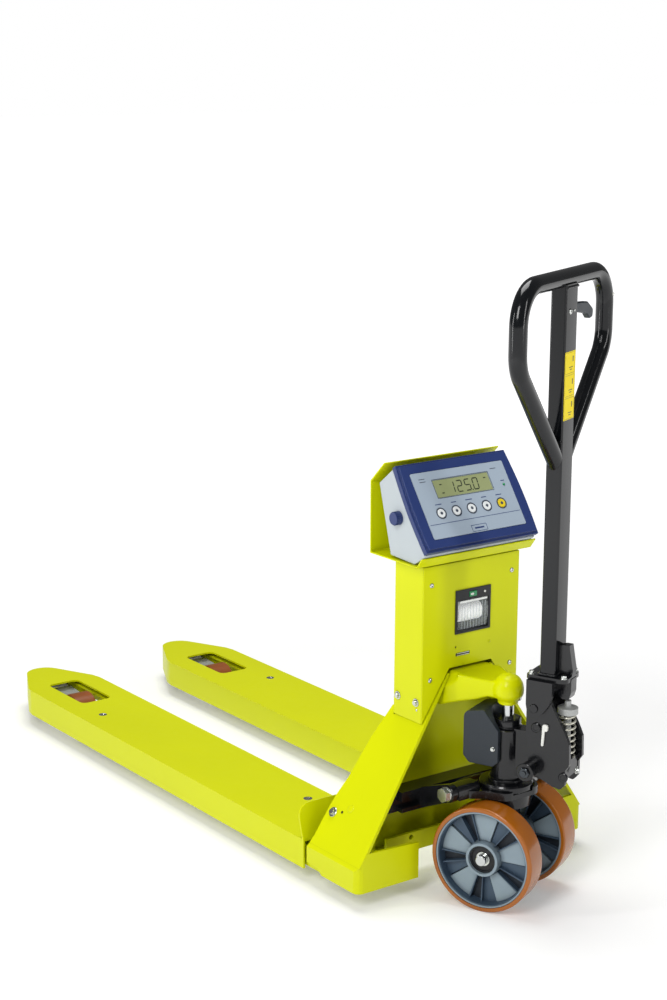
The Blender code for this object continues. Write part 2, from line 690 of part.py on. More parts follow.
def rocker():
    """Cast beam between the frame's sides, its arms to the frame and its lugs to the yoke."""
    low_x, high_x, low_z, high_z = -56, -16, 164, 204
    ends = [(band_y(low_z, 11), low_z), (band_y(high_z, 11), high_z)]
    beam = plate(ends + [(-y, z) for y, z in reversed(ends)], "X", low_x, high_x)
    pieces, cuts = [], [wheel_sweep()]
    pin, bolt, eye = Vector(ROCKER_PIN), Vector(ROCKER_BOLT), Vector(ROD_PIN_REAR)
    for side in SIDES.values():
        arm = [(pin.x - 4, pin.y + 15), (low_x + 4, high_z - 4), (low_x + 4, low_z + 2),
               (pin.x + 14, pin.y - 8)]
        drop = [(pin.x - 10, pin.y - 4), (pin.x + 12, pin.y), (eye.x + 8.5, eye.y),
                (eye.x - 7.5, eye.y)]
        near, far = sorted((side * 170, side * 182))
        pieces += [plate(arm, "Y", near, far), plate(drop, "Y", near, far)]
        pieces.append(rod((pin.x, near, pin.y), (pin.x, far, pin.y), 17))
        pieces.append(rod((eye.x, near, eye.y), (eye.x, far, eye.y), 11))
        cuts.append(rod((pin.x, near - 5, pin.y), (pin.x, far + 5, pin.y), 9.4))
        cuts.append(rod((eye.x, near - 5, eye.y), (eye.x, far + 5, eye.y), 6.4))
        near, far = sorted(side * y for y in LUG_Y)
        lug = [(high_x - 20, high_z - 6), (high_x - 20, low_z), (high_x, low_z),
               (bolt.x, bolt.y - 17), (bolt.x, bolt.y + 17), (bolt.x - 6, bolt.y + 15.9)]
        pieces.append(plate(lug, "Y", near, far))
        pieces.append(rod((bolt.x, near, bolt.y), (bolt.x, far, bolt.y), 17))
        out = (bolt - pin).normalized()
        front = bolt + Vector((-out.y, out.x)) * SLOT_RISE
        heading = math.degrees(math.atan2(out.y, out.x))
        slot = arc(front, SLOT_R, heading - 90, heading + 90)
        slot += arc(front - out * SLOT_LENGTH, SLOT_R, heading + 90, heading + 270)
        cuts.append(plate(slot, "Y", near - 5, far + 5))
        low, high = sorted((side * 168, side * 215))
        cuts.append(box((low_x + 28, low, low_z - 6), (high_x + 4, high, high_z + 6)))
        pocket = [(side * 126, 172), (side * 180, 172), (side * 158, 197), (side * 126, 197)]
        cuts.append(plate(pocket, "X", high_x - 12, high_x + 12))
    return cut(join(beam, *pieces), *cuts)


def rocker_bolt(side):
    """Hex bolt with its washer, through the rocker's lug into the yoke."""
    x, z = ROCKER_BOLT
    outside = LUG_Y[1]
    shank = rod((x, side * 62, z), (x, side * (outside + 4), z), 10)
    washer = rod((x, side * (outside + GAP), z), (x, side * (outside + 3.4), z), 14)
    head = rod((x, side * (outside + 3), z), (x, side * (outside + 14), z), 14, 6)
    return join(shank, washer, head)


def push_rod(side):
    """Bar from the rocker's lower eye; its fork passes the roller to reach the bracket's ears."""
    rear, front = Vector(ROD_PIN_REAR), Vector(ROD_PIN_FRONT)
    along = (front - rear).normalized()
    across = Vector((-along.y, along.x)) * 7
    split = rear + along * (FORK_SPLIT_X - rear.x) / along.x
    centre = side * FORK_Y

    def bar(start, end, low, high):
        corners = (start + across, end + across, end - across, start - across)
        return plate([tuple(corner) for corner in corners], "Y", low, high)

    y_low, y_high = sorted((side * 183, side * 193))
    pieces = [bar(split + along * 12, split, centre - 39, centre + 39),
              rod((rear.x, y_low, rear.y), (rear.x, y_high, rear.y), 10),
              rod((rear.x, side * 166.5, rear.y), (rear.x, side * 188, rear.y), 6)]
    for inner, outer in ((-39, -34), (34, 39)):
        pieces.append(bar(split, front, centre + inner, centre + outer))
        pieces.append(rod((front.x, centre + inner, front.y), (front.x, centre + outer, front.y),
                          14, 20))
    hole = rod((front.x, centre - 50, front.y), (front.x, centre + 50, front.y), 9.2)
    return cut(join(bar(rear, split + along * 6, y_low, y_high), *pieces), hole)


def roller_bracket(side):
    """Two side plates and a bridge, on the pin in the fork tip, with the push rod's pin."""
    centre = side * FORK_Y
    pin, axle, ear = BRACKET_PIN, ROLLER, ROD_PIN_FRONT
    pieces, cuts = [], []
    for inner, outer in ((-32, -27), (27, 32)):
        cheek = [(pin[0] - 3, pin[1] + 12), (axle[0] + 2, axle[1] + 15), (axle[0] - 2, axle[1] - 15),
                 (ear[0] + 2, ear[1] - 9), (ear[0] - 7, ear[1] - 6), (pin[0] - 11, pin[1] - 5)]
        pieces.append(plate(cheek, "Y", centre + inner, centre + outer))
        pieces.append(rod((pin[0], centre + inner, pin[1]), (pin[0], centre + outer, pin[1]), 12.5))
        pieces.append(rod((axle[0], centre + inner, axle[1]), (axle[0], centre + outer, axle[1]), 15))
        pieces.append(rod((ear[0], centre + inner, ear[1]), (ear[0], centre + outer, ear[1]), 9))
    pieces.append(plate([(-1290, 61), (-1290, 65), (-1236, 59.5), (-1236, 55.5)], "Y",
                        centre - 28, centre + 28))
    pieces.append(rod((ear[0], centre - 42, ear[1]), (ear[0], centre + 42, ear[1]), 5.5))
    cuts.append(rod((axle[0], centre - 50, axle[1]), (axle[0], centre + 50, axle[1]), 10.4))
    pivot = rod((pin[0], centre - 42, pin[1]), (pin[0], centre + 42, pin[1]), 7)
    return cut(join(pivot, *pieces), *cuts)


def load_roller(side):
    centre = side * FORK_Y
    roller = rod((ROLLER[0], centre - 25, ROLLER[1]), (ROLLER[0], centre + 25, ROLLER[1]),
                 ROLLER_R, 40)
    bore = rod((ROLLER[0], centre - 40, ROLLER[1]), (ROLLER[0], centre + 40, ROLLER[1]), 10.4)
    return cut(roller, bore)


def roller_axle(side):
    centre = side * FORK_Y
    return rod((ROLLER[0], centre - 33, ROLLER[1]), (ROLLER[0], centre + 33, ROLLER[1]), 10)


def yoke():
    """Plate that doesn't steer: it carries the pump on the thrust ring and takes both bolts."""
    outline = rounded([(36, -84, 8), (76, -84, 8), (92, -58, 16), (128, -40, 20), (128, 40, 20),
                       (92, 58, 16), (76, 84, 8), (36, 84, 8)])
    body = plate(outline, "Z", 202.6, 211.5)
    hub = rod((KINGPIN_X, 0, 182), (KINGPIN_X, 0, 210), 47, 32)
    rim = plate(outline, "Z", 211, 217)
    pieces = [hub, rim]
    cuts = [rod((KINGPIN_X, 0, 170), (KINGPIN_X, 0, 220), 25, 32),
            rod((KINGPIN_X, 0, 211.5), (KINGPIN_X, 0, 220), 53, 32)]
    for side in SIDES.values():
        low, high = sorted((side * 57, side * (LUG_Y[0] - GAP)))
        boss = rounded([(37, 203), (75, 203), (73, 228, 9), (39, 228, 9)])
        pieces.append(plate(boss, "Y", low, high))
        cuts.append(rod((ROCKER_BOLT[0], side * 60, ROCKER_BOLT[1]),
                        (ROCKER_BOLT[0], side * 110, ROCKER_BOLT[1]), 10.4))
    return cut(join(body, *pieces), *cuts)


# --- pump, in the steered frame -----------------------------------------------------------

def thrust_ring():
    return turned([(26, 213.6), (44, 213.6), (44, 211.9), (26, 211.9)], (0, 0, 0), ring=True)


def pump_body():
    """Cylinder, flange, spigot with the axle boss, and the two cheeks that hold the tiller."""
    barrel = turned([(0, 346), (21, 346), (21, 330), (28.5, 325), (28.5, 232), (33, 227), (48, 226),
                     (50, 223), (50, 214), (23.5, 214), (23.5, 150), (0, 150)], (0, 0, 0), steps=32)
    web = box((-20, -24, 104), (20, 24, 176))
    axle_boss = rod((0, -47, 100), (0, 47, 100), 21, 32)
    neck = box((20, -15, 240), (60, 15, 330))
    block = plate([(56, 262), (84, 262), (84, 345), (66, 360), (56, 350)], "Y", -25.8, 25.8)
    channel = rod((PLUNGER_S, 0, 262), (PLUNGER_S, 0, 290), 11)
    seat = plate([(80, 258), (130, 258), (130, 289), (80, 289)], "Y", -26, 26)
    outline = rounded([(52, 386, 10), (62, 410, 12), (90, 408, 8), (97, 401), (110, 377),
                       (126.5, 348), (137, 325, 4), (138, 287, 4), (131, 276, 3), (131, 248, 6),
                       (122, 238, 6), (104, 242, 12), (60, 264), (52, 340)])
    cheeks = [plate(outline, "Y", low, high) for low, high in ((-34, -25.5), (25.5, 34))]
    side_bolt = rod((63, -62, 268), (63, 62, 268), 8)
    washers = [rod((63, side * 34, 268), (63, side * 57, 268), 15) for side in SIDES.values()]
    bore = rod((0, 0, 186), (0, 0, 360), 11.1, 24)
    axle_hole = rod((0, -60, 100), (0, 60, 100), 10.4)
    pin_hole = rod((TILT_PIN[0], -60, TILT_PIN[1]), (TILT_PIN[0], 60, TILT_PIN[1]), 8.4)
    plunger_hole = rod((PLUNGER_S, 0, 250), (PLUNGER_S, 0, 300), 7.4)
    body = join(barrel, web, axle_boss, neck, block, seat, channel, *cheeks, *washers, side_bolt)
    return cut(body, bore, axle_hole, pin_hole, plunger_hole)


def reservoir():
    """Oil tank around the front of the cylinder."""
    outline = rounded([(-70, 272, 6), (-70, 356, 12), (-30, 364.5, 6), (0, 328), (0, 268),
                       (-10, 259, 4), (-58, 259, 6)])
    tank = plate(outline, "Y", -40, 40)
    clearance = rod((0, 0, 240), (0, 0, 380), 29, 32)
    return cut(tank, clearance)


def wheel_axle():
    return rod((0, -104, 100), (0, 104, 100), 10, 24)


def wheel_hub(side):
    """Aluminium hub: a rim, a boss and five pairs of ribs around open pockets."""
    turn = (math.radians(-90) * side, 0, 0)
    profile = [(14, 25), (32, 25), (33, 10), (84, 10), (85, 24), (RIM_R - 1.5, 24),
               (RIM_R - 1.5, -24), (84, -24), (84, -10), (33, -10), (32, -25), (14, -25)]
    hub = turned(profile, (0, side * WHEEL_N, WHEEL_R), turn, 40, ring=True)
    low, high = sorted((side * (WHEEL_N + 4), side * (WHEEL_N + 23)))
    ribs = []
    for index in range(5):
        angle = math.radians(90 + 72 * index)
        for offset in (-11, 11):
            along = Vector((math.cos(angle), math.sin(angle)))
            across = Vector((-along.y, along.x))
            start, end = along * 29 + across * offset, along * 86 + across * offset * 1.5
            corners = [start - across * 3, end - across * 3, end + across * 3, start + across * 3]
            ribs.append(plate([(corner.x, WHEEL_R + corner.y) for corner in corners], "Y", low, high))
    return join(hub, *ribs)


def wheel_tyre(side):
    turn = (math.radians(-90) * side, 0, 0)
    crown = [(WHEEL_R - 2.2, 25), (WHEEL_R, 21), (WHEEL_R, -21), (WHEEL_R - 2.2, -25)]
    profile = [(RIM_R - 1, 25)] + crown + [(RIM_R - 1, -25)]
    return turned(profile, (0, side * WHEEL_N, WHEEL_R), turn, 40, ring=True)


def plunger():
    """Pump plunger with the spring's cap and the nub that the tiller presses."""
    return turned([(0, 398), (6, 398), (6, 386), (19, 385), (19, 373), (7, 372.4), (7, 284), (0, 284)],
                  (PLUNGER_S, 0, 0), steps=24)


def pump_spring():
    """Coil round the plunger between its cap and the seat."""
    turns, steps, wire, radius = 7, 9, 2.0, 14.0
    low, high = 289.4 + wire, 372.0 - wire
    points = []
    for step in range(turns * steps + 1):
        share = step / (turns * steps)
        angle = 2 * math.pi * turns * share
        points.append((PLUNGER_S + radius * math.cos(angle), radius * math.sin(angle),
                       low + (high - low) * share))
    return tube(points, wire, 1)


def release_lever():
    """Lowering valve's tab on the near cheek."""
    tab = plate(rounded([(84, 316, 2), (88, 316, 2), (90, 344), (96, 346, 2), (96, 357, 3),
                         (86, 357, 3)]), "Y", -38.5, -34.5)
    return tab


def tiller_base():
    """Casting that swings on the pivot pin: two side lugs, a deck and the pressing roller."""
    s, z = TILT_PIN
    deck = box((54, -43, 419), (104, 43, 438))
    flange = plate(rounded([(48, -34, 8), (127, -34, 12), (127, 34, 12), (48, 34, 8)]), "Z",
                   437, 445)
    pieces = [flange]
    for low, high in ((-43, -35), (35, 43)):
        lug = rounded([(54, 438), (54, 392, 6), (58, 372, 12), (82, 372, 12), (100, 398, 6),
                       (104, 410), (104, 438)])
        pieces.append(plate(lug, "Y", low, high))
    arm = plate(rounded([(96, 441), (96, 420), (110, 402, 4), (124, 402, 5), (128, 416), (128, 441)]),
                "Y", -12, 12)
    stiffener = plate([(101.6, 446), (101.6, 500), (110, 502), (121, 502), (129, 456), (127, 444)],
                      "Y", -9, 9)
    pieces += [arm, stiffener]
    hole = rod((s, -60, z), (s, 60, z), 8.4)
    return cut(join(deck, *pieces), hole)


def tiller_pivot_pin():
    s, z = TILT_PIN
    return rod((s, -46, z), (s, 46, z), 8)


def loop_path():
    """Right half of the handle: up the V, round the lower bend, up the side, over the corner."""
    junction, bend, corner = (22.0, 844.0), 70.0, 65.0
    slope = math.atan2(1030 - 850 + 30, LOOP_HALF - 25)
    side_x = LOOP_HALF
    lower = (side_x - bend, 1048.0)
    right = [junction] + arc(lower, bend, math.degrees(slope) - 90, 0, 5)
    right += arc((side_x - corner, LOOP_TOP - corner), corner, 0, 90, 6)
    return right


def tiller():
    """Rectangular tube with the bent tube handle welded across it."""
    stem = box((TUBE_S - 15, -25, 445.5), (TUBE_S + 15, 25, 1150))
    hollow = box((TUBE_S - 12, -22, 440), (TUBE_S + 12, 22, 1124))
    lever_slot = box((TUBE_S - 8, 0, 1086), (TUBE_S + 8, 40, 1116))
    right = loop_path()
    path = [(TUBE_S - 1, n, z) for n, z in right] + [(TUBE_S - 1, -n, z) for n, z in right[::-1]]
    return cut(join(stem, tube(path, LOOP_R, 3)), hollow, lever_slot)


def control_lever():
    """Hand lever in the tiller tube: its grip reaches to the right and hooks down."""
    n, z = LEVER_PIN
    outline = rounded([(-19, 1092, 5), (40, 1093), (92, 1084, 6), (104, 1074, 4), (116, 1076, 5),
                       (119, 1090, 8), (92, 1106, 10), (50, 1109), (-19, 1108, 5)])
    return plate([(a, b) for a, b in outline], "X", TUBE_S - 6, TUBE_S + 6)


# --- assembly -----------------------------------------------------------------------------

def build_forks():
    for name, side in SIDES.items():
        part("fork_cover_" + name, fork_cover(side), "yellow")
        part("inner_fork_" + name, inner_fork(side), "yellow")
        for place, foot in zip(("front", "rear"), CELL_FEET):
            part("load_cell_%s_%s" % (place, name), load_cell(side, foot), "steel")
        axle = (ROLLER[0], side * FORK_Y, ROLLER[1])
        part("roller_bracket_" + name, roller_bracket(side), "light_grey",
             origin=(BRACKET_PIN[0], side * FORK_Y, BRACKET_PIN[1]))
        part("load_roller_" + name, load_roller(side), "amber", origin=axle)
        part("roller_axle_" + name, roller_axle(side), "steel", origin=axle)
        part("push_rod_" + name, push_rod(side), "black",
             origin=(ROD_PIN_REAR[0], side * FORK_Y, ROD_PIN_REAR[1]))


def build_frame():
    for name, side in SIDES.items():
        part("side_frame_" + name, side_frame(side), "yellow")
    part("cross_frame", cross_frame(), "yellow")
    part("crosshead", crosshead(), "yellow")
    part("piston_rod", piston_rod(), "steel")
    part("rocker", rocker(), "black", origin=(ROCKER_PIN[0], 0, ROCKER_PIN[1]))
    part("yoke", yoke(), "black")
    for name, side in SIDES.items():
        part("rocker_bolt_" + name, rocker_bolt(side), "steel")


def build_column():
    part("column_housing", column_housing(), "yellow")
    part("column_cover", column_cover(), "yellow")
    part("indicator_bracket", indicator_bracket(), "yellow")
    part("battery_pack", battery_pack(), "dark_grey")
    part("printer_frame", printer_frame(), "dark_grey")
    part("printer_door", printer_door(), "clear", origin=(COLUMN_X[1] - 3, PRINTER_Y, 490))
    part("paper_roll", paper_roll(), "white", origin=(COLUMN_X[1] - 22.5, PRINTER_Y, 516))
    part("feed_button", feed_button(), "green")


def build_indicator():
    part("indicator_housing", indicator_housing(), "light_grey")
    part("indicator_bezel", indicator_bezel(), "blue")
    part("indicator_panel", indicator_panel(), "light_grey")
    part("indicator_display", indicator_display(), "dark_grey")
    part("indicator_board", indicator_board(), "green")
    for index in range(5):
        look = "key_yellow" if index == 4 else "white"
        part("key_%d" % (index + 1), key(index), look)
    for name, side in SIDES.items():
        part("side_knob_" + name, side_knob(side), "blue", origin=(-83, side * 131.4, 706))


def build_steering():
    part("thrust_ring", thrust_ring(), "steel", STEER)
    part("pump_body", pump_body(), "black", STEER)
    part("reservoir", reservoir(), "dark_grey", STEER)
    part("wheel_axle", wheel_axle(), "steel", STEER)
    for name, side in SIDES.items():
        part("wheel_hub_" + name, wheel_hub(side), "hub_grey", STEER)
        part("wheel_tyre_" + name, wheel_tyre(side), "amber", STEER)
    part("plunger", plunger(), "steel", STEER)
    part("pump_spring", pump_spring(), "steel", STEER, (PLUNGER_S, 0, 289.4))
    part("release_lever", release_lever(), "white", STEER, (86, -36.5, 318))


def build_tiller():
    pivot = (TILT_PIN[0], 0, TILT_PIN[1])
    part("tiller_pivot_pin", tiller_pivot_pin(), "steel", STEER, pivot)
    part("tiller_base", tiller_base(), "black", STEER, pivot)
    part("tiller", tiller(), "black", STEER, pivot)
    part("control_lever", control_lever(), "black", STEER, (TUBE_S, *LEVER_PIN))


build_forks()
build_frame()
build_column()
build_indicator()
build_steering()
build_tiller()
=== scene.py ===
"""Looks of a pallet truck scale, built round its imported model."""
import json
import math

import bmesh
import bpy
from mathutils import Matrix, Vector


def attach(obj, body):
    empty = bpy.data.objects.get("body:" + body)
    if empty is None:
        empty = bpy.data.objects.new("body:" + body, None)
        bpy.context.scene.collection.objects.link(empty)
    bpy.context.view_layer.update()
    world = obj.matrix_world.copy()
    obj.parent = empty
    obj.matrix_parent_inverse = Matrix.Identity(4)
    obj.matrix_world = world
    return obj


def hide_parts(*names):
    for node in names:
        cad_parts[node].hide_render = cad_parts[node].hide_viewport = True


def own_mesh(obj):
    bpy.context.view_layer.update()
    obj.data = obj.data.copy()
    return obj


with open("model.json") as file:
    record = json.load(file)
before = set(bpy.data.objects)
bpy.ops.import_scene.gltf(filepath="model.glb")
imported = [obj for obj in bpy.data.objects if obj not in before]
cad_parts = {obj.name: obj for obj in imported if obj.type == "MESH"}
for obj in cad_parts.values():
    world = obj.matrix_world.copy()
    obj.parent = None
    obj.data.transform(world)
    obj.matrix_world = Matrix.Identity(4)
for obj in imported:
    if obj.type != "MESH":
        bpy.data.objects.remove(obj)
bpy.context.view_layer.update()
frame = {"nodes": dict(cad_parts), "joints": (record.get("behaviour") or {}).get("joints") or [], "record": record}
NODES = frame["nodes"]
RECORD = frame["record"]
BODY_OF = {node: body for body, nodes in RECORD["behaviour"]["bodies"].items() for node in nodes}
JOINTS = {joint["name"]: joint for joint in frame["joints"]}

MM = 0.001
DATUM_X = 572.0                     # truck X of the model's origin
FORK_TOP = 84.7
COLUMN_BACK, COLUMN_SIDE = -27.6, 115.0
PRINTER_Y, BUTTON_Z = 2.5, 555.0
KEY_ACROSS, KEY_UP, CAPTION_UP = (-72.5, -36.5, -0.5, 35.5, 71.5), 69.0, 86.5
DISPLAY_UP, DIGIT_UP, DIGIT_PITCH, DIGIT_SCALE = 116.2, 115.5, 19.0, 1.3
WHEEL_R, RIM_R, WHEEL_HALF, TYRE_EDGE = 100.0, 91.9, 25.0, 3.2
SPOKES = 5
TUBE_S, TUBE_DEPTH, TUBE_WIDTH, LOOP_R = 86.0, 30.0, 50.0, 16.0
SPRING_S, SPRING_R, SPRING_WIRE, SPRING_TURNS = 118.0, 14.0, 2.0, 7
SURROUND = 0.16                     # brightness of the studio round the object
SIDES = {"left": -1, "right": 1}

# the steered parts' own directions: S towards the operator, N across, with Z up
KINGPIN = Vector(JOINTS["steer"]["pos_m"][:2] + [0])
N_WAY = Vector(JOINTS["tiller_tilt"]["axis"])
S_WAY = Vector((N_WAY.y, -N_WAY.x, 0))
X_WAY, Y_WAY, Z_WAY = Vector((1, 0, 0)), Vector((0, 1, 0)), Vector((0, 0, 1))
# the sloping front of the display: OUT of its face, UP its slope
OUT_WAY = -Vector(JOINTS["key_1_press"]["axis"])
UP_WAY = Vector((-OUT_WAY.z, 0, OUT_WAY.x))


def truck(x, y, z):
    """A point of the frame, in millimetres from the truck's datum."""
    return Vector((x + DATUM_X, y, z)) * MM


def steered(s, n, z):
    """A point of the steered parts, in millimetres from the kingpin."""
    return KINGPIN + (S_WAY * s + N_WAY * n + Z_WAY * z) * MM


def panel(across, up):
    """A point on the display's front, in millimetres from its lower edge."""
    return truck(3.0, across, 657.0) + UP_WAY * up * MM


# --- camera, light and floor ---------------------------------------------------------------

def add_camera():
    """The operator's side, from the left of the display and a little above it, with a long lens."""
    data = bpy.data.cameras.new("camera")
    data.lens, data.sensor_width = 72.48, 36
    camera = bpy.data.objects.new("camera", data)
    heading, tip, roll = math.radians(53.548), math.radians(76.888), math.radians(0.342)
    turn = Matrix.Rotation(heading, 4, "Z") @ Matrix.Rotation(tip, 4, "X") @ Matrix.Rotation(roll, 4, "Z")
    camera.matrix_world = Matrix.Translation((3.2808, -2.3412, 1.5676)) @ turn
    bpy.context.scene.collection.objects.link(camera)
    bpy.context.scene.camera = camera


def add_area(name, place, target, size, power):
    """Rectangular lamp, width by height in metres and power in watts."""
    data = bpy.data.lights.new(name, "AREA")
    data.shape, data.energy = "RECTANGLE", power
    data.size, data.size_y = size
    light = bpy.data.objects.new(name, data)
    light.location = place
    light.rotation_euler = (Vector(target) - Vector(place)).to_track_quat("-Z", "Y").to_euler()
    bpy.context.scene.collection.objects.link(light)


def floor_material():
    """Matt white floor that stays white far from the lamps."""
    made = material("floor", (0.82, 0.82, 0.82), 0.9, mottle=0.01, bump=0.0, specular=0.0)
    nodes, links = made.node_tree.nodes, made.node_tree.links
    length = nodes.new("ShaderNodeVectorMath")
    length.operation = "LENGTH"
    links.new(nodes.new("ShaderNodeTexCoord").outputs["Object"], length.inputs[0])
    glow = nodes.new("ShaderNodeMapRange")
    for socket, value in (("From Min", 1.0), ("From Max", 4.5), ("To Min", 0.22), ("To Max", 1.0)):
        glow.inputs[socket].default_value = value
    links.new(length.outputs["Value"], glow.inputs["Value"])
    links.new(glow.outputs["Result"], nodes["Principled BSDF"].inputs["Emission Strength"])
    return made


def add_studio():
    """White surround, soft lamps and a white floor."""
    world = bpy.data.worlds.new("studio")
    world.use_nodes = True
    nodes, links = world.node_tree.nodes, world.node_tree.links
    background = nodes["Background"]
    background.inputs["Color"].default_value = (1.0, 1.0, 1.0, 1)
    strength = nodes.new("ShaderNodeMapRange")          # white to the camera, dim to the object
    strength.inputs["To Min"].default_value = SURROUND
    strength.inputs["To Max"].default_value = 1.0
    links.new(nodes.new("ShaderNodeLightPath").outputs["Is Camera Ray"], strength.inputs["Value"])
    links.new(strength.outputs["Result"], background.inputs["Strength"])
    bpy.context.scene.world = world
    add_area("key_light", (2.2, -3.2, 3.2), (0.1, 0, 0.35), (1.2, 2.0), 92)
    add_area("top_light", (-0.5, 0.2, 4.4), (-0.1, 0, 0.2), (2.4, 2.4), 120)
    add_area("right_strip", (3.6, 1.2, 1.8), (0.6, 0, 0.6), (0.35, 2.4), 26)
    add_area("left_strip", (-0.6, -3.4, 1.5), (0.4, 0, 0.5), (0.3, 2.2), 30)
    bpy.context.scene.view_settings.view_transform = "Standard"
    bpy.ops.mesh.primitive_grid_add(x_subdivisions=8, y_subdivisions=8, size=60)
    floor = bpy.context.object
    floor.name = "floor"
    floor.data.materials.append(floor_material())


# --- materials -----------------------------------------------------------------------------

def material(name, colour, roughness, metallic=0.0, mottle=0.06, mottle_scale=9.0, rough_spread=0.06,
             bump=0.05, bump_scale=900.0, bump_depth=0.0002, coat=0.0, corner_shade=0.0, specular=0.5,
             alpha=1.0, glow=0.0):
    """A Principled finish with uneven colour, uneven roughness and a fine surface grain, with painted shade
    darkening its corners and a painted glow where asked.
    """
    made = bpy.data.materials.new(name)
    made.use_nodes = True
    tree = made.node_tree
    shader = tree.nodes["Principled BSDF"]
    link = tree.links.new

    def node(kind, **values):
        added = tree.nodes.new("ShaderNode" + kind)
        for key, value in values.items():
            setattr(added, key, value)
        return added

    place = node("TexCoord").outputs["Object"]

    def noise(scale, detail=3.0):
        texture = node("TexNoise")
        texture.inputs["Scale"].default_value = scale
        texture.inputs["Detail"].default_value = detail
        link(place, texture.inputs["Vector"])
        return texture.outputs["Fac"]

    broad = noise(mottle_scale)
    mix = node("Mix", data_type="RGBA")
    mix.inputs[6].default_value = (*[c * (1 - mottle) for c in colour], 1)
    mix.inputs[7].default_value = (*[min(1.0, c * (1 + mottle)) for c in colour], 1)
    link(broad, mix.inputs[0])
    colour_out = mix.outputs[2]
    # Painted shade: ambient occlusion darkens the colour in corners and crevices, down towards a quarter of it.
    if corner_shade:
        corner = node("AmbientOcclusion", samples=4)
        corner.inputs["Distance"].default_value = 0.012
        ramp = node("MapRange")
        ramp.inputs["From Min"].default_value = 0.35
        ramp.inputs["From Max"].default_value = 0.9
        ramp.inputs["To Min"].default_value = corner_shade
        ramp.inputs["To Max"].default_value = 0.0
        link(corner.outputs["AO"], ramp.inputs["Value"])
        corner_shade_mix = node("Mix", data_type="RGBA")
        corner_shade_mix.inputs[7].default_value = (*[c * 0.25 for c in colour], 1)
        link(ramp.outputs["Result"], corner_shade_mix.inputs[0])
        link(colour_out, corner_shade_mix.inputs[6])
        colour_out = corner_shade_mix.outputs[2]
    link(colour_out, shader.inputs["Base Color"])
    spread = node("MapRange")
    spread.inputs["To Min"].default_value = max(0.02, roughness - rough_spread)
    spread.inputs["To Max"].default_value = min(1.0, roughness + rough_spread)
    link(noise(mottle_scale * 7, 4.0), spread.inputs["Value"])
    link(spread.outputs["Result"], shader.inputs["Roughness"])
    if bump:
        relief = node("Bump")
        relief.inputs["Strength"].default_value = bump
        relief.inputs["Distance"].default_value = bump_depth
        link(noise(bump_scale, 2.0), relief.inputs["Height"])
        link(relief.outputs["Normal"], shader.inputs["Normal"])
    shader.inputs["Metallic"].default_value = metallic
    shader.inputs["Coat Weight"].default_value = coat
    shader.inputs["Coat Roughness"].default_value = 0.06
    shader.inputs["Specular IOR Level"].default_value = specular
    shader.inputs["Alpha"].default_value = alpha
    # Painted light: the glow, used on the paper, makes a surface shine though it is no lamp.
    shader.inputs["Emission Color"].default_value = (1, 1, 1, 1)
    shader.inputs["Emission Strength"].default_value = glow
    return made


def srgb(red, green, blue):
    """Linear colour from 0 to 255 screen values."""
    return tuple(((c / 255 + 0.055) / 1.055) ** 2.4 if c > 10 else c / 255 / 12.92
                 for c in (red, green, blue))
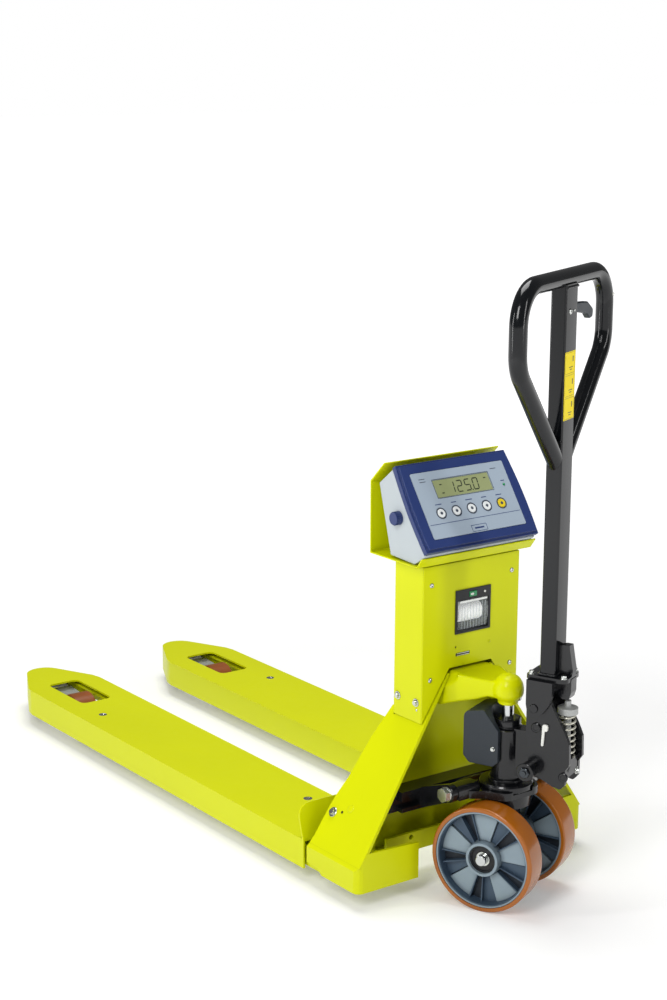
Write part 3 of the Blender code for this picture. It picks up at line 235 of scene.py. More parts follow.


# The corner darkening set on these finishes is painted shade.
LOOKS = {
    "yellow": material("yellow_paint", srgb(212, 218, 0), 0.34, coat=0.08, mottle=0.03, bump=0.1,
                       bump_scale=420, corner_shade=0.45, specular=0.15),
    "black": material("black_paint", srgb(12, 14, 17), 0.14, coat=0.16, mottle=0.12, bump=0.06,
                      bump_scale=300, corner_shade=0.2, specular=0.3),
    "cast": material("cast_black_paint", srgb(15, 16, 19), 0.22, coat=0.18, mottle=0.2, bump=0.4,
                     bump_scale=240, bump_depth=0.0006, corner_shade=0.3, specular=0.4),
    "zinc": material("zinc_plate", srgb(205, 208, 204), 0.24, metallic=1.0, mottle=0.1, mottle_scale=120,
                     bump=0.12, bump_scale=1400),
    "steel": material("ground_steel", srgb(200, 203, 203), 0.18, metallic=1.0, mottle=0.06,
                      mottle_scale=60, bump=0.1, bump_scale=1500),
    "spring": material("spring_wire", srgb(206, 204, 190), 0.32, metallic=0.7, mottle=0.08,
                       mottle_scale=80, bump=0.1, bump_scale=1200),
    "dark_steel": material("blued_steel", srgb(70, 74, 78), 0.26, metallic=0.9, mottle=0.15,
                           mottle_scale=90, bump=0.15, bump_scale=1100),
    "hub": material("hub_casting", srgb(136, 152, 162), 0.4, metallic=0.2, mottle=0.07,
                    mottle_scale=40, bump=0.3, bump_scale=700, corner_shade=0.55),
    # Painted shade: a darker copy of the hub casting for its recesses, ribs and the rim's inner face.
    "hub_recess_shade": material("hub_recess_casting", srgb(60, 78, 96), 0.42, metallic=0.2, mottle=0.12,
                         mottle_scale=40, bump=0.3, bump_scale=700),
    # Painted shade: a near-black copy of the hub casting for the web seen between the spokes.
    "hub_gap_shade": material("hub_shadow_casting", srgb(24, 32, 42), 0.5, metallic=0.1, mottle=0.15,
                         mottle_scale=40, bump=0.3, bump_scale=700),
    "amber": material("polyurethane", srgb(160, 90, 16), 0.24, coat=0.3, mottle=0.2, mottle_scale=11,
                      bump=0.1, bump_scale=500, corner_shade=0.35, specular=0.4),
    "brown": material("roller_polyurethane", srgb(140, 76, 30), 0.34, mottle=0.15, mottle_scale=20,
                      bump=0.15, bump_scale=500, corner_shade=0.3),
    "grey": material("grey_moulding", srgb(184, 192, 196), 0.45, mottle=0.03, bump=0.3,
                     bump_scale=1300, specular=0.3),
    "blue": material("blue_moulding", srgb(36, 54, 108), 0.36, mottle=0.08, bump=0.3, bump_scale=1300,
                     coat=0.12, corner_shade=0.25, specular=0.4),
    "panel": material("panel_foil", srgb(158, 172, 186), 0.4, mottle=0.03, bump=0.1, bump_scale=1600,
                      specular=0.3),
    "panel_line": material("panel_print", srgb(40, 58, 108), 0.45, mottle=0.04, bump=0.05),
    "lcd": material("display_glass", srgb(150, 158, 112), 0.16, mottle=0.05, mottle_scale=20, bump=0.02,
                    coat=0.5),
    "lcd_ink": material("display_segments", srgb(50, 56, 40), 0.35, mottle=0.03, bump=0.02),
    "key_white": material("key_cap", srgb(226, 230, 230), 0.4, mottle=0.03, bump=0.2, bump_scale=1500),
    "key_ring": material("key_print", srgb(62, 70, 84), 0.45, mottle=0.04, bump=0.05),
    "key_yellow": material("yellow_key_cap", srgb(222, 196, 30), 0.4, mottle=0.03, bump=0.2,
                           bump_scale=1500),
    "dark": material("dark_moulding", srgb(38, 45, 52), 0.4, mottle=0.08, bump=0.3, bump_scale=900,
                     corner_shade=0.2, specular=0.4),
    "black_moulding": material("black_moulding", srgb(18, 20, 24), 0.35, mottle=0.1, bump=0.3,
                               bump_scale=1100, specular=0.4),
    "green": material("green_button", srgb(10, 132, 76), 0.3, mottle=0.05, bump=0.1, coat=0.4),
    # Painted light: the paper glows, lifting the door's shade off the roll.
    "paper": material("thermal_paper", srgb(250, 250, 248), 0.6, mottle=0.02, bump=0.15,
                      bump_scale=1500, glow=0.3),
    "clear": material("clear_door", srgb(226, 234, 234), 0.06, mottle=0.01, rough_spread=0.02, bump=0.02,
                      alpha=0.13),
    "rib": material("clear_door_rib", srgb(196, 204, 206), 0.1, mottle=0.02, rough_spread=0.03, bump=0.02,
                    alpha=0.45),
    "white": material("white_plastic", srgb(226, 226, 220), 0.4, mottle=0.04, bump=0.2,
                      bump_scale=1200),
    "cap": material("grey_cap", srgb(168, 170, 168), 0.4, metallic=0.3, mottle=0.08, mottle_scale=50,
                    bump=0.15, bump_scale=1200),
    "brass": material("brass", srgb(180, 148, 84), 0.3, metallic=1.0, mottle=0.08, mottle_scale=90,
                      bump=0.1),
    "label": material("yellow_label", srgb(246, 222, 0), 0.4, mottle=0.03, bump=0.05, specular=0.12),
    "ink": material("label_print", srgb(30, 30, 28), 0.5, mottle=0.05, bump=0.05),
    "board": material("circuit_board", srgb(22, 92, 54), 0.4, mottle=0.1, bump=0.2),
}


# --- mesh helpers --------------------------------------------------------------------------

def show(name, mesh, look, body, smooth_angle=35.0, matrix=None):
    """Puts a mesh in the scene as a piece that rides on a body."""
    piece = bpy.data.objects.new(name, mesh)
    bpy.context.scene.collection.objects.link(piece)
    if matrix:
        piece.matrix_world = matrix
    mesh.materials.append(LOOKS[look])
    mesh.shade_smooth()
    mesh.set_sharp_from_angle(angle=math.radians(smooth_angle))
    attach(piece, body)
    return piece


def soften(piece, width, segments=2, angle=32.0):
    """Rounds a piece's edges, width in millimetres."""
    bevel = piece.modifiers.new("round_edges", "BEVEL")
    bevel.width, bevel.segments = width * MM, segments
    bevel.limit_method, bevel.angle_limit = "ANGLE", math.radians(angle)
    bevel.use_clamp_overlap = True
    bevel.miter_outer = "MITER_ARC"
    normals = piece.modifiers.new("even_normals", "WEIGHTED_NORMAL")
    normals.keep_sharp = True
    return piece


def polish(node, look, width=1.0, segments=2, angle=32.0):
    """The CAD node's own shape with rounded edges and a finish, shown in its place."""
    mesh = NODES[node].data.copy()
    mesh.materials.clear()
    bm = bmesh.new()
    bm.from_mesh(mesh)
    bmesh.ops.remove_doubles(bm, verts=bm.verts, dist=0.00002)
    bmesh.ops.dissolve_limit(bm, angle_limit=math.radians(0.6), verts=bm.verts, edges=bm.edges)
    bm.to_mesh(mesh)
    bm.free()
    piece = show(node + "_finished", mesh, look, BODY_OF[node])
    if width:
        soften(piece, width, segments, angle)
    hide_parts(node)
    return piece


def as_casting(piece, grain, passes):
    """Blends a piece's corners as a casting's are, with a grid of grain millimetres."""
    remesh = piece.modifiers.new("casting_grid", "REMESH")
    remesh.mode, remesh.voxel_size, remesh.use_smooth_shade = "VOXEL", grain * MM, True
    smooth = piece.modifiers.new("casting_blend", "SMOOTH")
    smooth.factor, smooth.iterations = 0.5, passes
    return piece


def stand(place, out, up=None):
    """Matrix that puts local Z along out and local Y along up."""
    z = Vector(out).normalized()
    guide = Vector(up) if up is not None else (Z_WAY if abs(z.z) < 0.9 else X_WAY)
    x = guide.cross(z).normalized()
    y = z.cross(x)
    turn = Matrix((x, y, z)).transposed().to_4x4()
    return Matrix.Translation(place) @ turn


def round_edge(radius):
    """Round outline for stack."""
    return lambda angle: radius


def hexagon(radius):
    """Six-sided outline by its corner radius."""
    def reach(angle):
        part = angle % (math.pi / 3) - math.pi / 6
        return radius * math.cos(math.pi / 6) / math.cos(part)
    return reach


def cross_slot(radius, half):
    """Cross-shaped outline of a screw's recess."""
    def reach(angle):
        part = (angle + math.pi / 4) % (math.pi / 2) - math.pi / 4
        return min(radius, half / max(abs(math.sin(part)), 1e-6))
    return reach


def stack(rings, steps=48):
    """Closed mesh through rings of (outline, height), in millimetres along local Z."""
    bm = bmesh.new()
    loops = []
    for outline, height in rings:
        loop = []
        for step in range(steps):
            angle = 2 * math.pi * step / steps
            radius = outline(angle)
            loop.append(bm.verts.new((radius * math.cos(angle) * MM, radius * math.sin(angle) * MM,
                                      height * MM)))
        loops.append(loop)
    for low, high in zip(loops, loops[1:]):
        for step in range(steps):
            after = (step + 1) % steps
            bm.faces.new((low[step], low[after], high[after], high[step]))
    bm.faces.new(loops[0][::-1])
    bm.faces.new(loops[-1])
    bmesh.ops.recalc_face_normals(bm, faces=bm.faces)
    mesh = bpy.data.meshes.new("stack")
    bm.to_mesh(mesh)
    bm.free()
    return mesh


def turned(profile, steps=64):
    """Closed ring or solid through a profile of (radius, height) that ends where it starts."""
    bm = bmesh.new()
    loops = []
    for radius, height in profile:
        loops.append([bm.verts.new((radius * math.cos(2 * math.pi * step / steps) * MM,
                                    radius * math.sin(2 * math.pi * step / steps) * MM,
                                    height * MM)) for step in range(steps)])
    for low, high in zip(loops, loops[1:] + loops[:1]):
        for step in range(steps):
            after = (step + 1) % steps
            bm.faces.new((low[step], low[after], high[after], high[step]))
    bmesh.ops.recalc_face_normals(bm, faces=bm.faces)
    mesh = bpy.data.meshes.new("turned")
    bm.to_mesh(mesh)
    bm.free()
    return mesh


def slab(points, low, high):
    """Prism through a flat outline in millimetres, from low to high along local Z."""
    bm = bmesh.new()
    floor = [bm.verts.new((x * MM, y * MM, low * MM)) for x, y in points]
    roof = [bm.verts.new((x * MM, y * MM, high * MM)) for x, y in points]
    bm.faces.new(floor[::-1])
    bm.faces.new(roof)
    for step in range(len(points)):
        after = (step + 1) % len(points)
        bm.faces.new((floor[step], floor[after], roof[after], roof[step]))
    bmesh.ops.recalc_face_normals(bm, faces=bm.faces)
    mesh = bpy.data.meshes.new("slab")
    bm.to_mesh(mesh)
    bm.free()
    return mesh


def rectangle(width, height, radius=0.0, centre=(0.0, 0.0), steps=5):
    """Outline of a rectangle with round corners."""
    if not radius:
        return [(centre[0] + x * width / 2, centre[1] + y * height / 2)
                for x, y in ((-1, -1), (1, -1), (1, 1), (-1, 1))]
    points = []
    for index, (x, y) in enumerate(((1, 1), (-1, 1), (-1, -1), (1, -1))):
        middle = (centre[0] + x * (width / 2 - radius), centre[1] + y * (height / 2 - radius))
        for step in range(steps + 1):
            angle = math.pi / 2 * (index + step / steps)
            points.append((middle[0] + radius * math.cos(angle), middle[1] + radius * math.sin(angle)))
    return points


def pipe(name, points, radius, look, body, resolution):
    """Round bar along points in metres, made a mesh."""
    data = bpy.data.curves.new(name, "CURVE")
    data.dimensions, data.bevel_depth, data.bevel_resolution = "3D", radius * MM, resolution
    data.use_fill_caps = True
    spline = data.splines.new("POLY")
    spline.points.add(len(points) - 1)
    for target, point in zip(spline.points, points):
        target.co = (*point, 1)
    curve = bpy.data.objects.new(name + "_curve", data)
    bpy.context.scene.collection.objects.link(curve)
    bpy.context.view_layer.update()
    mesh = bpy.data.meshes.new_from_object(curve.evaluated_get(bpy.context.evaluated_depsgraph_get()))
    bpy.data.objects.remove(curve)
    bm = bmesh.new()
    bm.from_mesh(mesh)
    bmesh.ops.remove_doubles(bm, verts=bm.verts, dist=0.00001)
    bm.to_mesh(mesh)
    bm.free()
    mesh.materials.clear()
    return show(name, mesh, look, body, 50)


# --- fasteners -----------------------------------------------------------------------------

def pan_screw(name, place, out, body, radius, height, look="zinc"):
    """Domed screw head with a cross recess."""
    rings = [(round_edge(radius), 0), (round_edge(radius), height * 0.35)]
    for step in (1, 2, 3):
        angle = math.radians(24 * step)
        rings.append((round_edge(radius * math.cos(angle) * 0.98),
                      height * (0.35 + 0.65 * math.sin(angle))))
    slot = cross_slot(radius * 0.55, radius * 0.14)
    rings += [(slot, height), (slot, height * 0.45)]
    return show(name, stack(rings), look, body, matrix=stand(place, out))


def washer_bolt(name, place, out, body, head, height, washer):
    """Washer and hexagon head with a turned chamfer."""
    rings = [(round_edge(washer), 0), (round_edge(washer), 1.1), (round_edge(washer - 0.5), 1.5),
             (hexagon(head), 1.5), (hexagon(head), height), (round_edge(head * 0.82), height + 0.9)]
    return show(name, stack(rings), "zinc", body, 25, stand(place, out))


def sunk_screw(name, place, out, body, radius=9.0):
    """Flat head with a hexagon socket, set in a shallow dished ring."""
    rings = [(round_edge(radius), 0.0), (round_edge(radius), 0.35), (round_edge(radius - 1.2), 0.7),
             (hexagon(radius * 0.48), 0.7), (hexagon(radius * 0.44), 0.1)]
    return show(name, stack(rings), "zinc", body, 20, stand(place, out))


def weld(name, points, radius, body, look):
    """Rippled weld bead along points in metres."""
    bm = bmesh.new()
    path = [Vector(point) for point in points]
    steps, step_length = 8, 4.0 * MM / 3
    loops = []
    for start, end in zip(path, path[1:]):
        count = max(2, int((end - start).length / step_length))
        way = (end - start).normalized()
        side = way.orthogonal().normalized()
        lift = way.cross(side)
        for step in range(count + 1):
            middle = start.lerp(end, step / count)
            girth = radius * (1 + 0.16 * math.sin(len(loops) * 2.1)) * MM
            loops.append([bm.verts.new(middle + (side * math.cos(2 * math.pi * k / steps)
                                                 + lift * math.sin(2 * math.pi * k / steps)) * girth)
                          for k in range(steps)])
    for low, high in zip(loops, loops[1:]):
        for k in range(steps):
            after = (k + 1) % steps
            bm.faces.new((low[k], low[after], high[after], high[k]))
    bm.faces.new(loops[0][::-1])
    bm.faces.new(loops[-1])
    bmesh.ops.recalc_face_normals(bm, faces=bm.faces)
    mesh = bpy.data.meshes.new(name)
    bm.to_mesh(mesh)
    bm.free()
    return show(name, mesh, look, body, 60)


# --- frame and forks -----------------------------------------------------------------------

def finish_frame():
    """Forks, side frames, lifting links and the yoke."""
    for side in SIDES:
        polish("side_frame_" + side, "yellow", 1.6, 3)
        polish("inner_fork_" + side, "yellow", 0.8)
        polish("fork_cover_" + side, "yellow", 4.0, 4)
        for place in ("front", "rear"):
            polish(f"load_cell_{place}_{side}", "steel", 0.6)
        polish("push_rod_" + side, "black", 0.8)
        polish("roller_bracket_" + side, "cap", 0.6)
        polish("roller_axle_" + side, "steel", 0.5)
    polish("cross_frame", "yellow", 1.2)
    as_casting(polish("crosshead", "yellow", 0.0), 2.4, 9)
    polish("piston_rod", "steel", 0.5)
    polish("rocker", "cast", 1.4, 3)
    polish("yoke", "cast", 1.6, 3)
    polish("thrust_ring", "steel", 0.0)


def add_frame_bolts():
    """Fork bolts, and the bolt, hole and boss on each sloping side."""
    for side, way in SIDES.items():
        for index, (x, y) in enumerate(((-1013.0, 226.0), (-340.0, 148.0))):
            sunk_screw(f"fork_bolt_{side}_{index + 1}", truck(x, way * y, FORK_TOP), Z_WAY, "frame")
        slope = Vector((0, way, 1 / 1.489)).normalized()
        washer_bolt("band_bolt_" + side, truck(-139, way * 234.2, 142), slope, "frame", 6.5, 5, 9.5)
        # Painted shade: a black cup stands for the dark inside of the band's hole.
        dimple = stack([(round_edge(2.6), 0), (round_edge(2.6), 0.4), (round_edge(1.9), 0.4),
                        (round_edge(1.7), 0.05)])
        show("band_hole_" + side, dimple, "black_moulding", "frame",
             matrix=stand(truck(-116, way * 230.2, 148), slope))
        emboss = stack([(round_edge(8.5), -0.3), (round_edge(7.6), 0.7), (round_edge(5), 1.1)])
        show("band_boss_" + side, emboss, "yellow", "frame", 60,
             stand(truck(-99, way * 223.2, 158.3), slope))


def side_roller(side):
    """Load roller: a steel core with a moulded tyre, crowned at its edges."""
    half, radius = 25.0, 40.0
    profile = [(radius - 9, half), (radius - 1.4, half), (radius, half - 1.6), (radius, -half + 1.6),
               (radius - 1.4, -half), (radius - 9, -half)]
    core = [(10.5, half - 0.6), (radius - 9.2, half - 0.6), (radius - 9.2, -half + 0.6),
            (10.5, -half + 0.6)]
    body = "load_roller_" + side
    place = stand(Vector(JOINTS[f"load_roller_{side}_spin"]["pos_m"]), Y_WAY)
    tyre = show("load_roller_tyre_" + side, turned(profile), "brown", body, 30, place)
    show("load_roller_core_" + side, turned(core), "steel", body, 30, place)
    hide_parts(body)


# --- column and printer --------------------------------------------------------------------

def finish_column():
    """Column, display bracket and the printer's own parts."""
    polish("column_housing", "yellow", 1.3, 3)
    polish("column_cover", "yellow", 0.7, 2)
    polish("battery_pack", "dark", 1.0)
    polish("indicator_bracket", "yellow", 1.2)
    polish("printer_frame", "black_moulding", 0.7)
    polish("printer_door", "clear", 0.0)
    polish("feed_button", "green", 0.8)


def add_column_screws():
    """Screws of the cover, and the bolts that hold the column's sides."""
    back = COLUMN_BACK
    for side, way in SIDES.items():
        for index, z in enumerate((585.0, 404.0)):
            pan_screw(f"cover_screw_{side}_{index + 1}", truck(back, way * 96.5, z), X_WAY, "frame",
                      4.6, 2.4)
        for index, x in enumerate((-98.6, -44.8)):
            washer_bolt(f"column_bolt_{side}_{index + 1}", truck(x, way * COLUMN_SIDE, 360), Y_WAY * way,
                        "frame", 5.6, 4.2, 8.0)
        pan_screw("column_rivet_" + side, truck(-43, way * COLUMN_SIDE, 346), Y_WAY * way, "frame",
                  2.6, 1.2)
    pan_screw("cover_plug", truck(back, 45, 455), X_WAY, "frame", 3.2, 1.2, "yellow")


def add_printer():
    """Paper roll, tear bar, door ribs, button mark, lamp and card slot."""
    back = COLUMN_BACK
    roll = [(6.2, -28.3)]
    for step in range(15):
        y = -28.3 + 56.6 * step / 14
        roll += [(18.3 if step % 2 else 18.0, y)]
    roll.append((6.2, 28.3))
    spin = JOINTS["paper_roll_spin"]["pos_m"]
    place = stand(Vector(spin), Y_WAY)
    paper = show("paper_roll_finished", turned(roll), "paper", "paper_roll", 20, place)
    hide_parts("paper_roll")
    teeth = [(33 - 66 * k / 44, 3.0 if k % 2 else 4.6) for k in range(45)]
    bar = slab([(-33, 0), (33, 0)] + teeth, 0, 1.1)
    show("tear_bar", bar, "zinc", "frame",
         matrix=stand(truck(back + 1.6, PRINTER_Y, 540.5), X_WAY, Z_WAY))
    ribs = [slab(rectangle(0.8, 48, 0.0, (x, 0)), 0, 0.8) for x in range(-28, 29, 7)]
    for index, mesh in enumerate(ribs):
        show(f"door_rib_{index + 1}", mesh, "rib", "printer_door",
             matrix=stand(truck(back + 2.6, PRINTER_Y, 515), X_WAY, Z_WAY))
    arrow = slab([(-4, -1.4), (0, -1.4), (0, -3.2), (4, 0), (0, 3.2), (0, 1.4), (-4, 1.4)], 0, 0.25)
    show("button_mark", arrow, "white", "feed_button",
         matrix=stand(truck(back + 3.2, -1, BUTTON_Z), X_WAY, Z_WAY))
    lamp = stack([(round_edge(2.2), 0), (round_edge(2.2), 1.2), (round_edge(1.2), 1.9)])
    show("printer_lamp", lamp, "white", "frame", matrix=stand(truck(back + 0.6, 30.5, BUTTON_Z), X_WAY))
    card = slab(rectangle(32.5, 5.4, 1.2), 0, 1.0)
    show("card_slot_lining", card, "black_moulding", "frame",
         matrix=stand(truck(back - 2.6, -19, 442), X_WAY, Z_WAY))
    for index, z in enumerate((440.2, 443.8)):
        lip = slab(rectangle(30, 1.1, 0.4), 0, 2.0)
        show(f"card_slot_lip_{index + 1}", lip, "zinc", "frame",
             matrix=stand(truck(back - 1.8, -19, z), X_WAY, Z_WAY))


# --- display unit --------------------------------------------------------------------------

def finish_indicator():
    """Display unit: housing, bezel, front sheet, glass and side knobs."""
    polish("indicator_housing", "grey", 2.4, 4)
    polish("indicator_bezel", "blue", 1.6, 3)
    polish("indicator_panel", "panel", 0.4)
    polish("indicator_display", "lcd", 0.3)
    polish("indicator_board", "board", 0.4)
    for side in SIDES:
        polish("side_knob_" + side, "blue", 0.8)


def on_panel(name, points, look, low=5.4, high=5.55, across=0.0, up=0.0):
    """A printed or raised shape on the display's front sheet."""
    matrix = stand(panel(across, up), OUT_WAY, UP_WAY)
    return show(name, slab(points, low, high), look, "frame", matrix=matrix)


def frame_outline(width, height, radius, line):
    """Outer and inner outlines of a printed box, joined into one band."""
    outer = rectangle(width, height, radius)
    inner = rectangle(width - 2 * line, height - 2 * line, max(radius - line, 0.2))
    return outer + outer[:1] + inner[:1] + inner[::-1]


def seven_segments(shown):
    """Slabs' outlines for one digit, 9 wide and 17 high, centred."""
    flat = [(-3.4, -0.9), (3.4, -0.9), (4.2, 0), (3.4, 0.9), (-3.4, 0.9), (-4.2, 0)]
    tall = [(-0.9, -3.1), (0, -3.9), (0.9, -3.1), (0.9, 3.1), (0, 3.9), (-0.9, 3.1)]
    places = {"a": (flat, 0, 8.4), "d": (flat, 0, -8.4), "g": (flat, 0, 0), "f": (tall, -4.4, 4.2),
              "b": (tall, 4.4, 4.2), "e": (tall, -4.4, -4.2), "c": (tall, 4.4, -4.2)}
    return [[(x + dx, y + dy) for x, y in places[key][0]] for key in shown
            for dx, dy in (places[key][1:],)]


def add_display():
    """Digits and status marks on the glass."""
    for index, digit in enumerate(("bc", "abged", "afgcd", "abcdef")):
        across = -27 + DIGIT_PITCH * index
        for number, points in enumerate(seven_segments(digit)):
            lean = [(px * DIGIT_SCALE + py * 0.12, py * DIGIT_SCALE) for px, py in points]
            on_panel(f"digit_{index + 1}_{number + 1}", lean, "lcd_ink", 4.9, 5.0, across, DIGIT_UP)
    on_panel("digit_point", rectangle(2.4, 2.4, 0.6), "lcd_ink", 4.9, 5.0, 19.5, 104.5)
    for index, (x, y) in enumerate(((-50, 124), (-50, 107), (55, 124))):
        on_panel(f"status_mark_{index + 1}", rectangle(5.5, 2.2, 0.6), "lcd_ink", 4.9, 5.0, x, y)


def add_panel_print():
    """Lines, captions and the lamp on the display's front sheet."""
    on_panel("display_surround", frame_outline(135, 38.6, 1.5, 1.0), "key_ring", up=DISPLAY_UP)
    on_panel("divider", rectangle(214, 1.0), "panel_line", up=49.3)
    on_panel("label_box", frame_outline(36, 13, 1.2, 0.9), "panel_line", up=30)
    on_panel("label_bar", rectangle(22, 3.0, 0.8), "panel_line", up=30)
    captions = [(x, CAPTION_UP, width) for x, width in zip(KEY_ACROSS, (15, 12, 16, 12, 14))]
    for index, (x, up, width) in enumerate(captions + [(93.5, 112.5, 9)]):
        on_panel(f"caption_{index + 1}", rectangle(width, 1.6, 0.5), "panel_line", across=x, up=up)
    for index, (x, up) in enumerate(((-88, 139), (-88, 133.5), (82, 139))):
        on_panel(f"small_mark_{index + 1}", rectangle(14, 1.4, 0.5), "key_ring", across=x, up=up)
    lamp = stack([(round_edge(2.5), 4.5), (round_edge(2.5), 6.2), (round_edge(1.5), 7.0)])
    show("lamp", lamp, "green", "frame", matrix=stand(panel(93.5, 104.5), OUT_WAY, UP_WAY))


def add_keys():
    """Round key caps with a centre mark, each in a printed ring."""
    for index, x in enumerate(KEY_ACROSS):
        name = f"key_{index + 1}"
        look = "key_yellow" if index == 4 else "key_white"
        cap = stack([(round_edge(3.4), -0.5), (round_edge(3.4), 1.5), (round_edge(8.5), 1.5),
                     (round_edge(8.5), 5.6), (round_edge(7.9), 6.4), (round_edge(6.5), 6.6),
                     (round_edge(5.6), 6.35)])
        place = stand(panel(x, KEY_UP), OUT_WAY, UP_WAY)
        piece = show(name + "_finished", cap, look, name, 40, place)
        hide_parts(name)
        mark = stack([(round_edge(2.9), 6.3), (round_edge(2.9), 6.52)], 24)
        show(name + "_mark", mark, "key_ring", name, 30, place)
        surround = turned([(11.3, 5.35), (11.3, 5.7), (9.0, 5.7), (9.0, 5.35)])
        show(name + "_surround", surround, "key_ring", "frame", 30, place)


def add_knob_ribs():
    """Grip ribs round the side knobs."""
    for side, way in SIDES.items():
        body = "side_knob_" + side
        centre = Vector(JOINTS[body + "_turn"]["pos_m"])
        for index in range(18):
            angle = 2 * math.pi * index / 18
            out = Vector((math.cos(angle), 0, math.sin(angle)))
            rib = slab(rectangle(1.5, 9.5, 0.5), 0, 1.0)
            show(f"knob_rib_{side}_{index + 1}", rib, "blue", body,
                 matrix=stand(centre + out * 11.7 * MM + Y_WAY * way * 7.0 * MM, out, Y_WAY))


# --- wheels --------------------------------------------------------------------------------

def petal(start, end, low_r, high_r, steps=8):
    """Outline of a wheel's web between two angles and two radii."""
    inner = [(low_r * math.cos(start + (end - start) * k / steps),
              low_r * math.sin(start + (end - start) * k / steps)) for k in range(steps + 1)]
    outer = [(high_r * math.cos(start + (end - start) * k / steps),
              high_r * math.sin(start + (end - start) * k / steps)) for k in range(steps, -1, -1)]
    return inner + outer


def add_wheel(side):
    """Steered wheel: moulded tyre, rim, web with five spokes, boss and bearing."""
    body = "wheel_" + side
    way = SIDES[side]
    place = stand(Vector(JOINTS[body + "_spin"]["pos_m"]), N_WAY * way)
    crown = [(RIM_R, -WHEEL_HALF), (RIM_R, WHEEL_HALF)]
    round_r, round_height = WHEEL_R - TYRE_EDGE, WHEEL_HALF - TYRE_EDGE
    for step in range(9):
        angle = math.pi / 2 * step / 8
        crown.append((round_r + TYRE_EDGE * math.sin(angle), round_height + TYRE_EDGE * math.cos(angle)))
    for step in range(9):
        angle = math.pi / 2 * step / 8
        crown.append((round_r + TYRE_EDGE * math.cos(angle), -round_height - TYRE_EDGE * math.sin(angle)))
    tyre = show("tyre_" + side, turned(crown, 96), "amber", body, 30, place)
    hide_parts("wheel_tyre_" + side)
    rim = [(RIM_R - 0.3, -24), (RIM_R - 0.3, 23.4), (RIM_R - 0.9, 24), (88.8, 24), (88.3, 23.4),
           (88.3, -23.4), (88.8, -24)]
    hub = show("wheel_rim_" + side, turned(rim, 96), "hub", body, 30, place)
    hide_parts("wheel_hub_" + side)
    lining = [(88.4, -22), (88.4, 22), (86.6, 21.6), (84, 6), (84, -6), (86.6, -21.6)]
    # Painted shade: the rim's inner face takes the darker copy of the hub casting.
    show("wheel_lining_" + side, turned(lining, 96), "hub_recess_shade", body, 30, place)
    web = turned([(24, -3), (24, 3), (85, 3), (85, -3)], 96)
    # Painted shade: the web between the spokes is the near-black copy of the hub casting.
    show("wheel_web_" + side, web, "hub_gap_shade", body, 30, place)
    boss = [(26.5, -22), (26.5, 22), (27, 23), (31.2, 23), (32, 22), (34, 4), (34, -4), (32, -22),
            (31.2, -23), (27, -23)]
    show("wheel_boss_" + side, turned(boss, 64), "hub", body, 30, place)
    bearing = [(10.4, -15), (10.4, 15), (12.5, 16.6), (14, 15), (22, 15), (23, 16.6), (26.7, 16.6),
               (26.7, -16.6)]
    show("wheel_bearing_" + side, turned(bearing, 64), "black_moulding", body, 30, place)
    for index in range(SPOKES):
        for face, label in ((1, "outer"), (-1, "inner")):
            add_spoke(f"{side}_{index + 1}_{label}", body, place, 90 + 360 / SPOKES * index, face)


def add_spoke(name, body, place, middle, face):
    """One wide raised sector of the wheel's web, with a lower sector and a rib beside it."""
    def sector(kind, start, end, height, look, inner=33.5, outer=85.0):
        outline = petal(math.radians(middle + start), math.radians(middle + end), inner, outer)
        mesh = slab(outline, 2.5 * face, height * face)
        piece = show(f"wheel_{kind}_{name}", mesh, look, body, 30, place)
        soften(piece, 1.0, 2)

    sector("petal", -17.5, 17.5, 10.0, "hub")
    # Painted shade: the lower sector, the rib and the edge take the darker copy of the hub casting.
    sector("recess", -37.5, -18.6, 6.0, "hub_recess_shade")
    sector("rib", -38.8, -36.6, 14.0, "hub_recess_shade")
    sector("edge", 16.6, 18.6, 14.0, "hub_recess_shade")


def add_axle():
    """Wheel axle and its clips."""
    polish("wheel_axle", "steel", 1.2, 3)
    for side, way in SIDES.items():
        ring = turned([(10.3, 0), (10.3, 1.4), (13.2, 1.4), (13.2, 0)], 48)
        centre = Vector(JOINTS[f"wheel_{side}_spin"]["pos_m"])
        show("axle_clip_" + side, ring, "zinc", "pump_unit", 30,
             stand(centre + N_WAY * way * 15.2 * MM, N_WAY * way))


# --- pump and tiller -----------------------------------------------------------------------

def finish_pump():
    """Pump, reservoir, tiller foot and the levers."""
    polish("pump_body", "cast", 1.6, 3)
    polish("reservoir", "dark", 5.0, 5)
    polish("tiller_pivot_pin", "cast", 1.2, 3)
    polish("plunger", "cap", 0.8)
    polish("release_lever", "white", 0.7)
    polish("tiller_base", "cast", 1.5, 3)
    polish("control_lever", "dark", 2.2, 4)
    for side in SIDES:
        polish("rocker_bolt_" + side, "zinc", 0.8)


def add_spring():
    """Pump spring, a coil of round wire under the plunger's cap."""
    low, high, count = 291.4, 370.0, SPRING_TURNS * 28
    points = []
    for step in range(count + 1):
        share = step / count
        angle = 2 * math.pi * SPRING_TURNS * share
        points.append(steered(SPRING_S + SPRING_R * math.cos(angle), SPRING_R * math.sin(angle),
                              low + (high - low) * share))
    spring = pipe("pump_spring_finished", points, SPRING_WIRE, "spring", "pump_unit", resolution=3)
    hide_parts("pump_spring")
    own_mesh(spring)


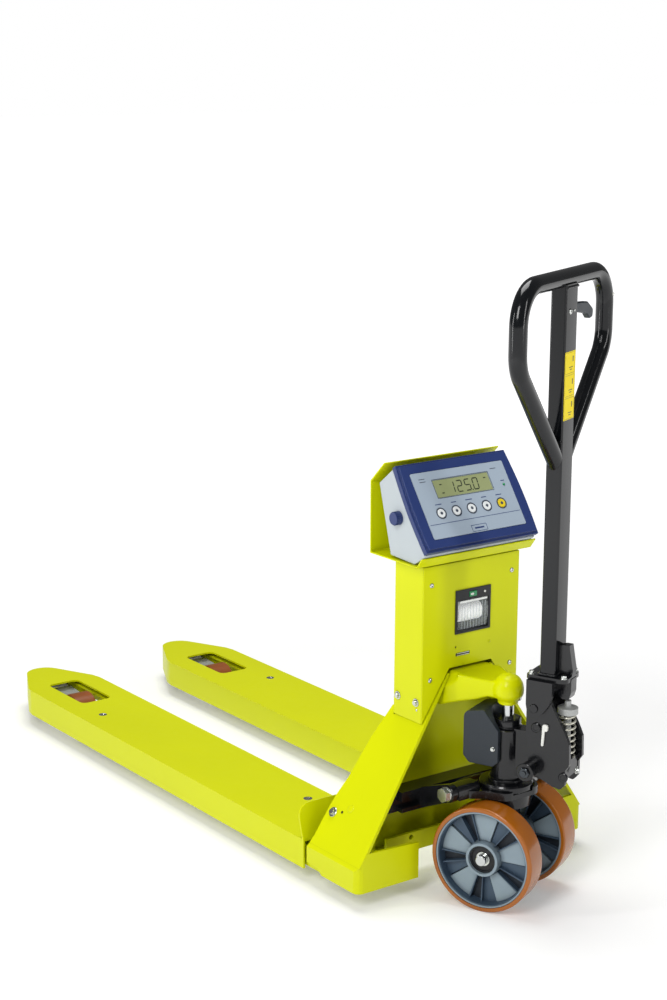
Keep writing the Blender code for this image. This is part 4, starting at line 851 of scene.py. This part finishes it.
def add_pump_details():
    """Bolts, bosses, gland and collar of the pump."""
    washer_bolt("reservoir_screw", steered(-10, -40.2, 293), -N_WAY, "pump_unit", 3.6, 3, 4.6)
    ring = [(round_edge(17), 0), (round_edge(17), 1.6), (round_edge(16), 2.4), (round_edge(12), 2.4)]
    nut = [(hexagon(10.4), 2.2), (hexagon(10.4), 6.0), (round_edge(8.2), 7.0), (round_edge(5), 7.0),
           (round_edge(4.6), 9.4)]
    place = stand(steered(63, -57.5, 268), -N_WAY)
    show("pivot_washer", stack(ring), "cast", "pump_unit", 25, place)
    show("pivot_nut", stack(nut), "dark_steel", "pump_unit", 25, place)
    washer_bolt("crosshead_screw", steered(21.6, 0, 385), S_WAY, "frame", 4.4, 3.4, 5.4)
    for index, (s, z) in enumerate(((72, 348), (128, 263))):
        boss = stack([(round_edge(9), 0), (round_edge(9), 2.6), (round_edge(7.6), 3.6),
                      (round_edge(5), 3.6), (round_edge(4.6), 3.0)])
        show(f"cheek_boss_{index + 1}", boss, "cast", "pump_unit", 30, stand(steered(s, -34, z), -N_WAY))
    washer_bolt("stop_bolt", steered(138, 0, 268), S_WAY, "pump_unit", 5.5, 5, 7.0)
    nub = stack([(round_edge(5.2), 0), (round_edge(5.2), 3.0), (round_edge(4.0), 4.4)])
    show("plunger_nub", nub, "brass", "plunger", 40, stand(steered(SPRING_S, 0, 383.6), Z_WAY))
    for index, n in enumerate((-31, 31)):
        for number, s in enumerate((56.5, 118.5)):
            washer_bolt(f"tiller_bolt_{index + 1}_{number + 1}", steered(s, n * 0.82, 445), Z_WAY,
                        "tiller_unit", 5.2, 5.2, 6.8)
    gland = [(21.3, 330.2), (21.3, 344), (22.3, 345.4), (24.2, 345.4), (24.8, 344), (24.8, 333),
             (26.5, 331), (26.5, 330.2)]
    show("gland_ring", turned(gland), "cast", "pump_unit", 30, stand(steered(0, 0, 0), Z_WAY))
    collar = turned([(28.6, 226), (28.6, 231), (31, 232.5), (33, 231), (33.2, 226)])
    show("foot_collar", collar, "cast", "pump_unit", 30, stand(steered(0, 0, 0), Z_WAY))


def loop_points():
    """The handle tube: up the V, round the lower bend, up the side and over the corner."""
    half, top, bend, corner = 187.0, 1156.0, 70.0, 65.0
    slope = math.atan2(210, half - 25)
    right = [(2.0, 818.0), (22.0, 844.0)]
    for step in range(13):
        angle = slope - math.pi / 2 + (math.pi / 2 - slope) * step / 12
        right.append((half - bend + bend * math.cos(angle), 1048 + bend * math.sin(angle)))
    for step in range(15):
        angle = math.pi / 2 * step / 14
        right.append((half - corner + corner * math.cos(angle), top - corner + corner * math.sin(angle)))
    return right


def add_tiller():
    """Tiller tube with its closed handle loop and the welds between them."""
    body = "tiller_unit"
    right = loop_points()
    left = [(-n, z) for n, z in reversed(right)]
    path = [steered(TUBE_S - 1, n, z) for n, z in right + left]
    loop = pipe("handle_loop", path, LOOP_R, "black", body, resolution=9)
    outer = rectangle(TUBE_DEPTH, TUBE_WIDTH, 3.5)
    inner = rectangle(TUBE_DEPTH - 6, TUBE_WIDTH - 6, 2.0)
    tube = slab(outer + outer[:1] + inner[:1] + inner[::-1], 445.6, 1147)
    stem = show("tiller_tube", tube, "black", body, 30, stand(steered(TUBE_S, 0, 0), Z_WAY, N_WAY))
    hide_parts("tiller")
    for index, n in enumerate((-1, 1)):
        across = [steered(TUBE_S + s, n * 25.5, 868 + abs(s) * 0.4) for s in (-14, 0, 14)]
        weld(f"loop_weld_{index + 1}", across, 3.0, body, "black")
    corners = ((-16, -26), (16, -26), (16, 26), (-16, 26), (-16, -26))
    foot = [steered(TUBE_S + s, n, 446.6) for s, n in corners]
    weld("foot_weld", foot, 2.6, body, "black")
    top = [steered(TUBE_S + s, n, 1142) for s, n in ((15.2, -24), (15.2, 24))]
    weld("top_weld", top, 2.4, body, "black")


def add_tiller_details():
    """Label, lever screws and the plug in the loop."""
    body = "tiller_unit"
    front = TUBE_S + TUBE_DEPTH / 2
    label = slab(rectangle(45, 120, 1.0), 0, 0.25)
    place = stand(steered(front + 0.05, -1.5, 970), S_WAY, Z_WAY)
    show("label", label, "label", body, matrix=place)
    for index, up in enumerate((-40, 0, 40)):
        bars = [(frame_outline(41, 37, 1.0, 0.45), 0, 0), (rectangle(16, 1.4, 0.5), 4, -8),
                (rectangle(10, 1.4, 0.5), 4, -12), (rectangle(3.4, 10, 1.0), 12, 6)]
        for number, (points, x, y) in enumerate(bars):
            mark = slab([(px + x, py + y + up) for px, py in points], 0.25, 0.32)
            show(f"label_mark_{index + 1}_{number + 1}", mark, "ink", body, matrix=place)
    for index, (n, radius) in enumerate(((-7, 5.2), (10, 2.2))):
        pan_screw(f"lever_screw_{index + 1}", steered(front, n, 1100), S_WAY, body, radius, 2.2)
    plug = stack([(round_edge(3.2), 0), (round_edge(3.2), 1.4), (round_edge(2.2), 2.2)])
    show("leg_plug", plug, "white", body, matrix=stand(steered(TUBE_S + 14.6, 187, 1109), S_WAY))


add_camera()
add_studio()
finish_frame()
add_frame_bolts()
for side in SIDES:
    side_roller(side)
    add_wheel(side)
add_axle()
finish_column()
add_column_screws()
add_printer()
finish_indicator()
add_display()
add_panel_print()
add_keys()
add_knob_ribs()
finish_pump()
add_spring()
add_pump_details()
add_tiller()
add_tiller_details()
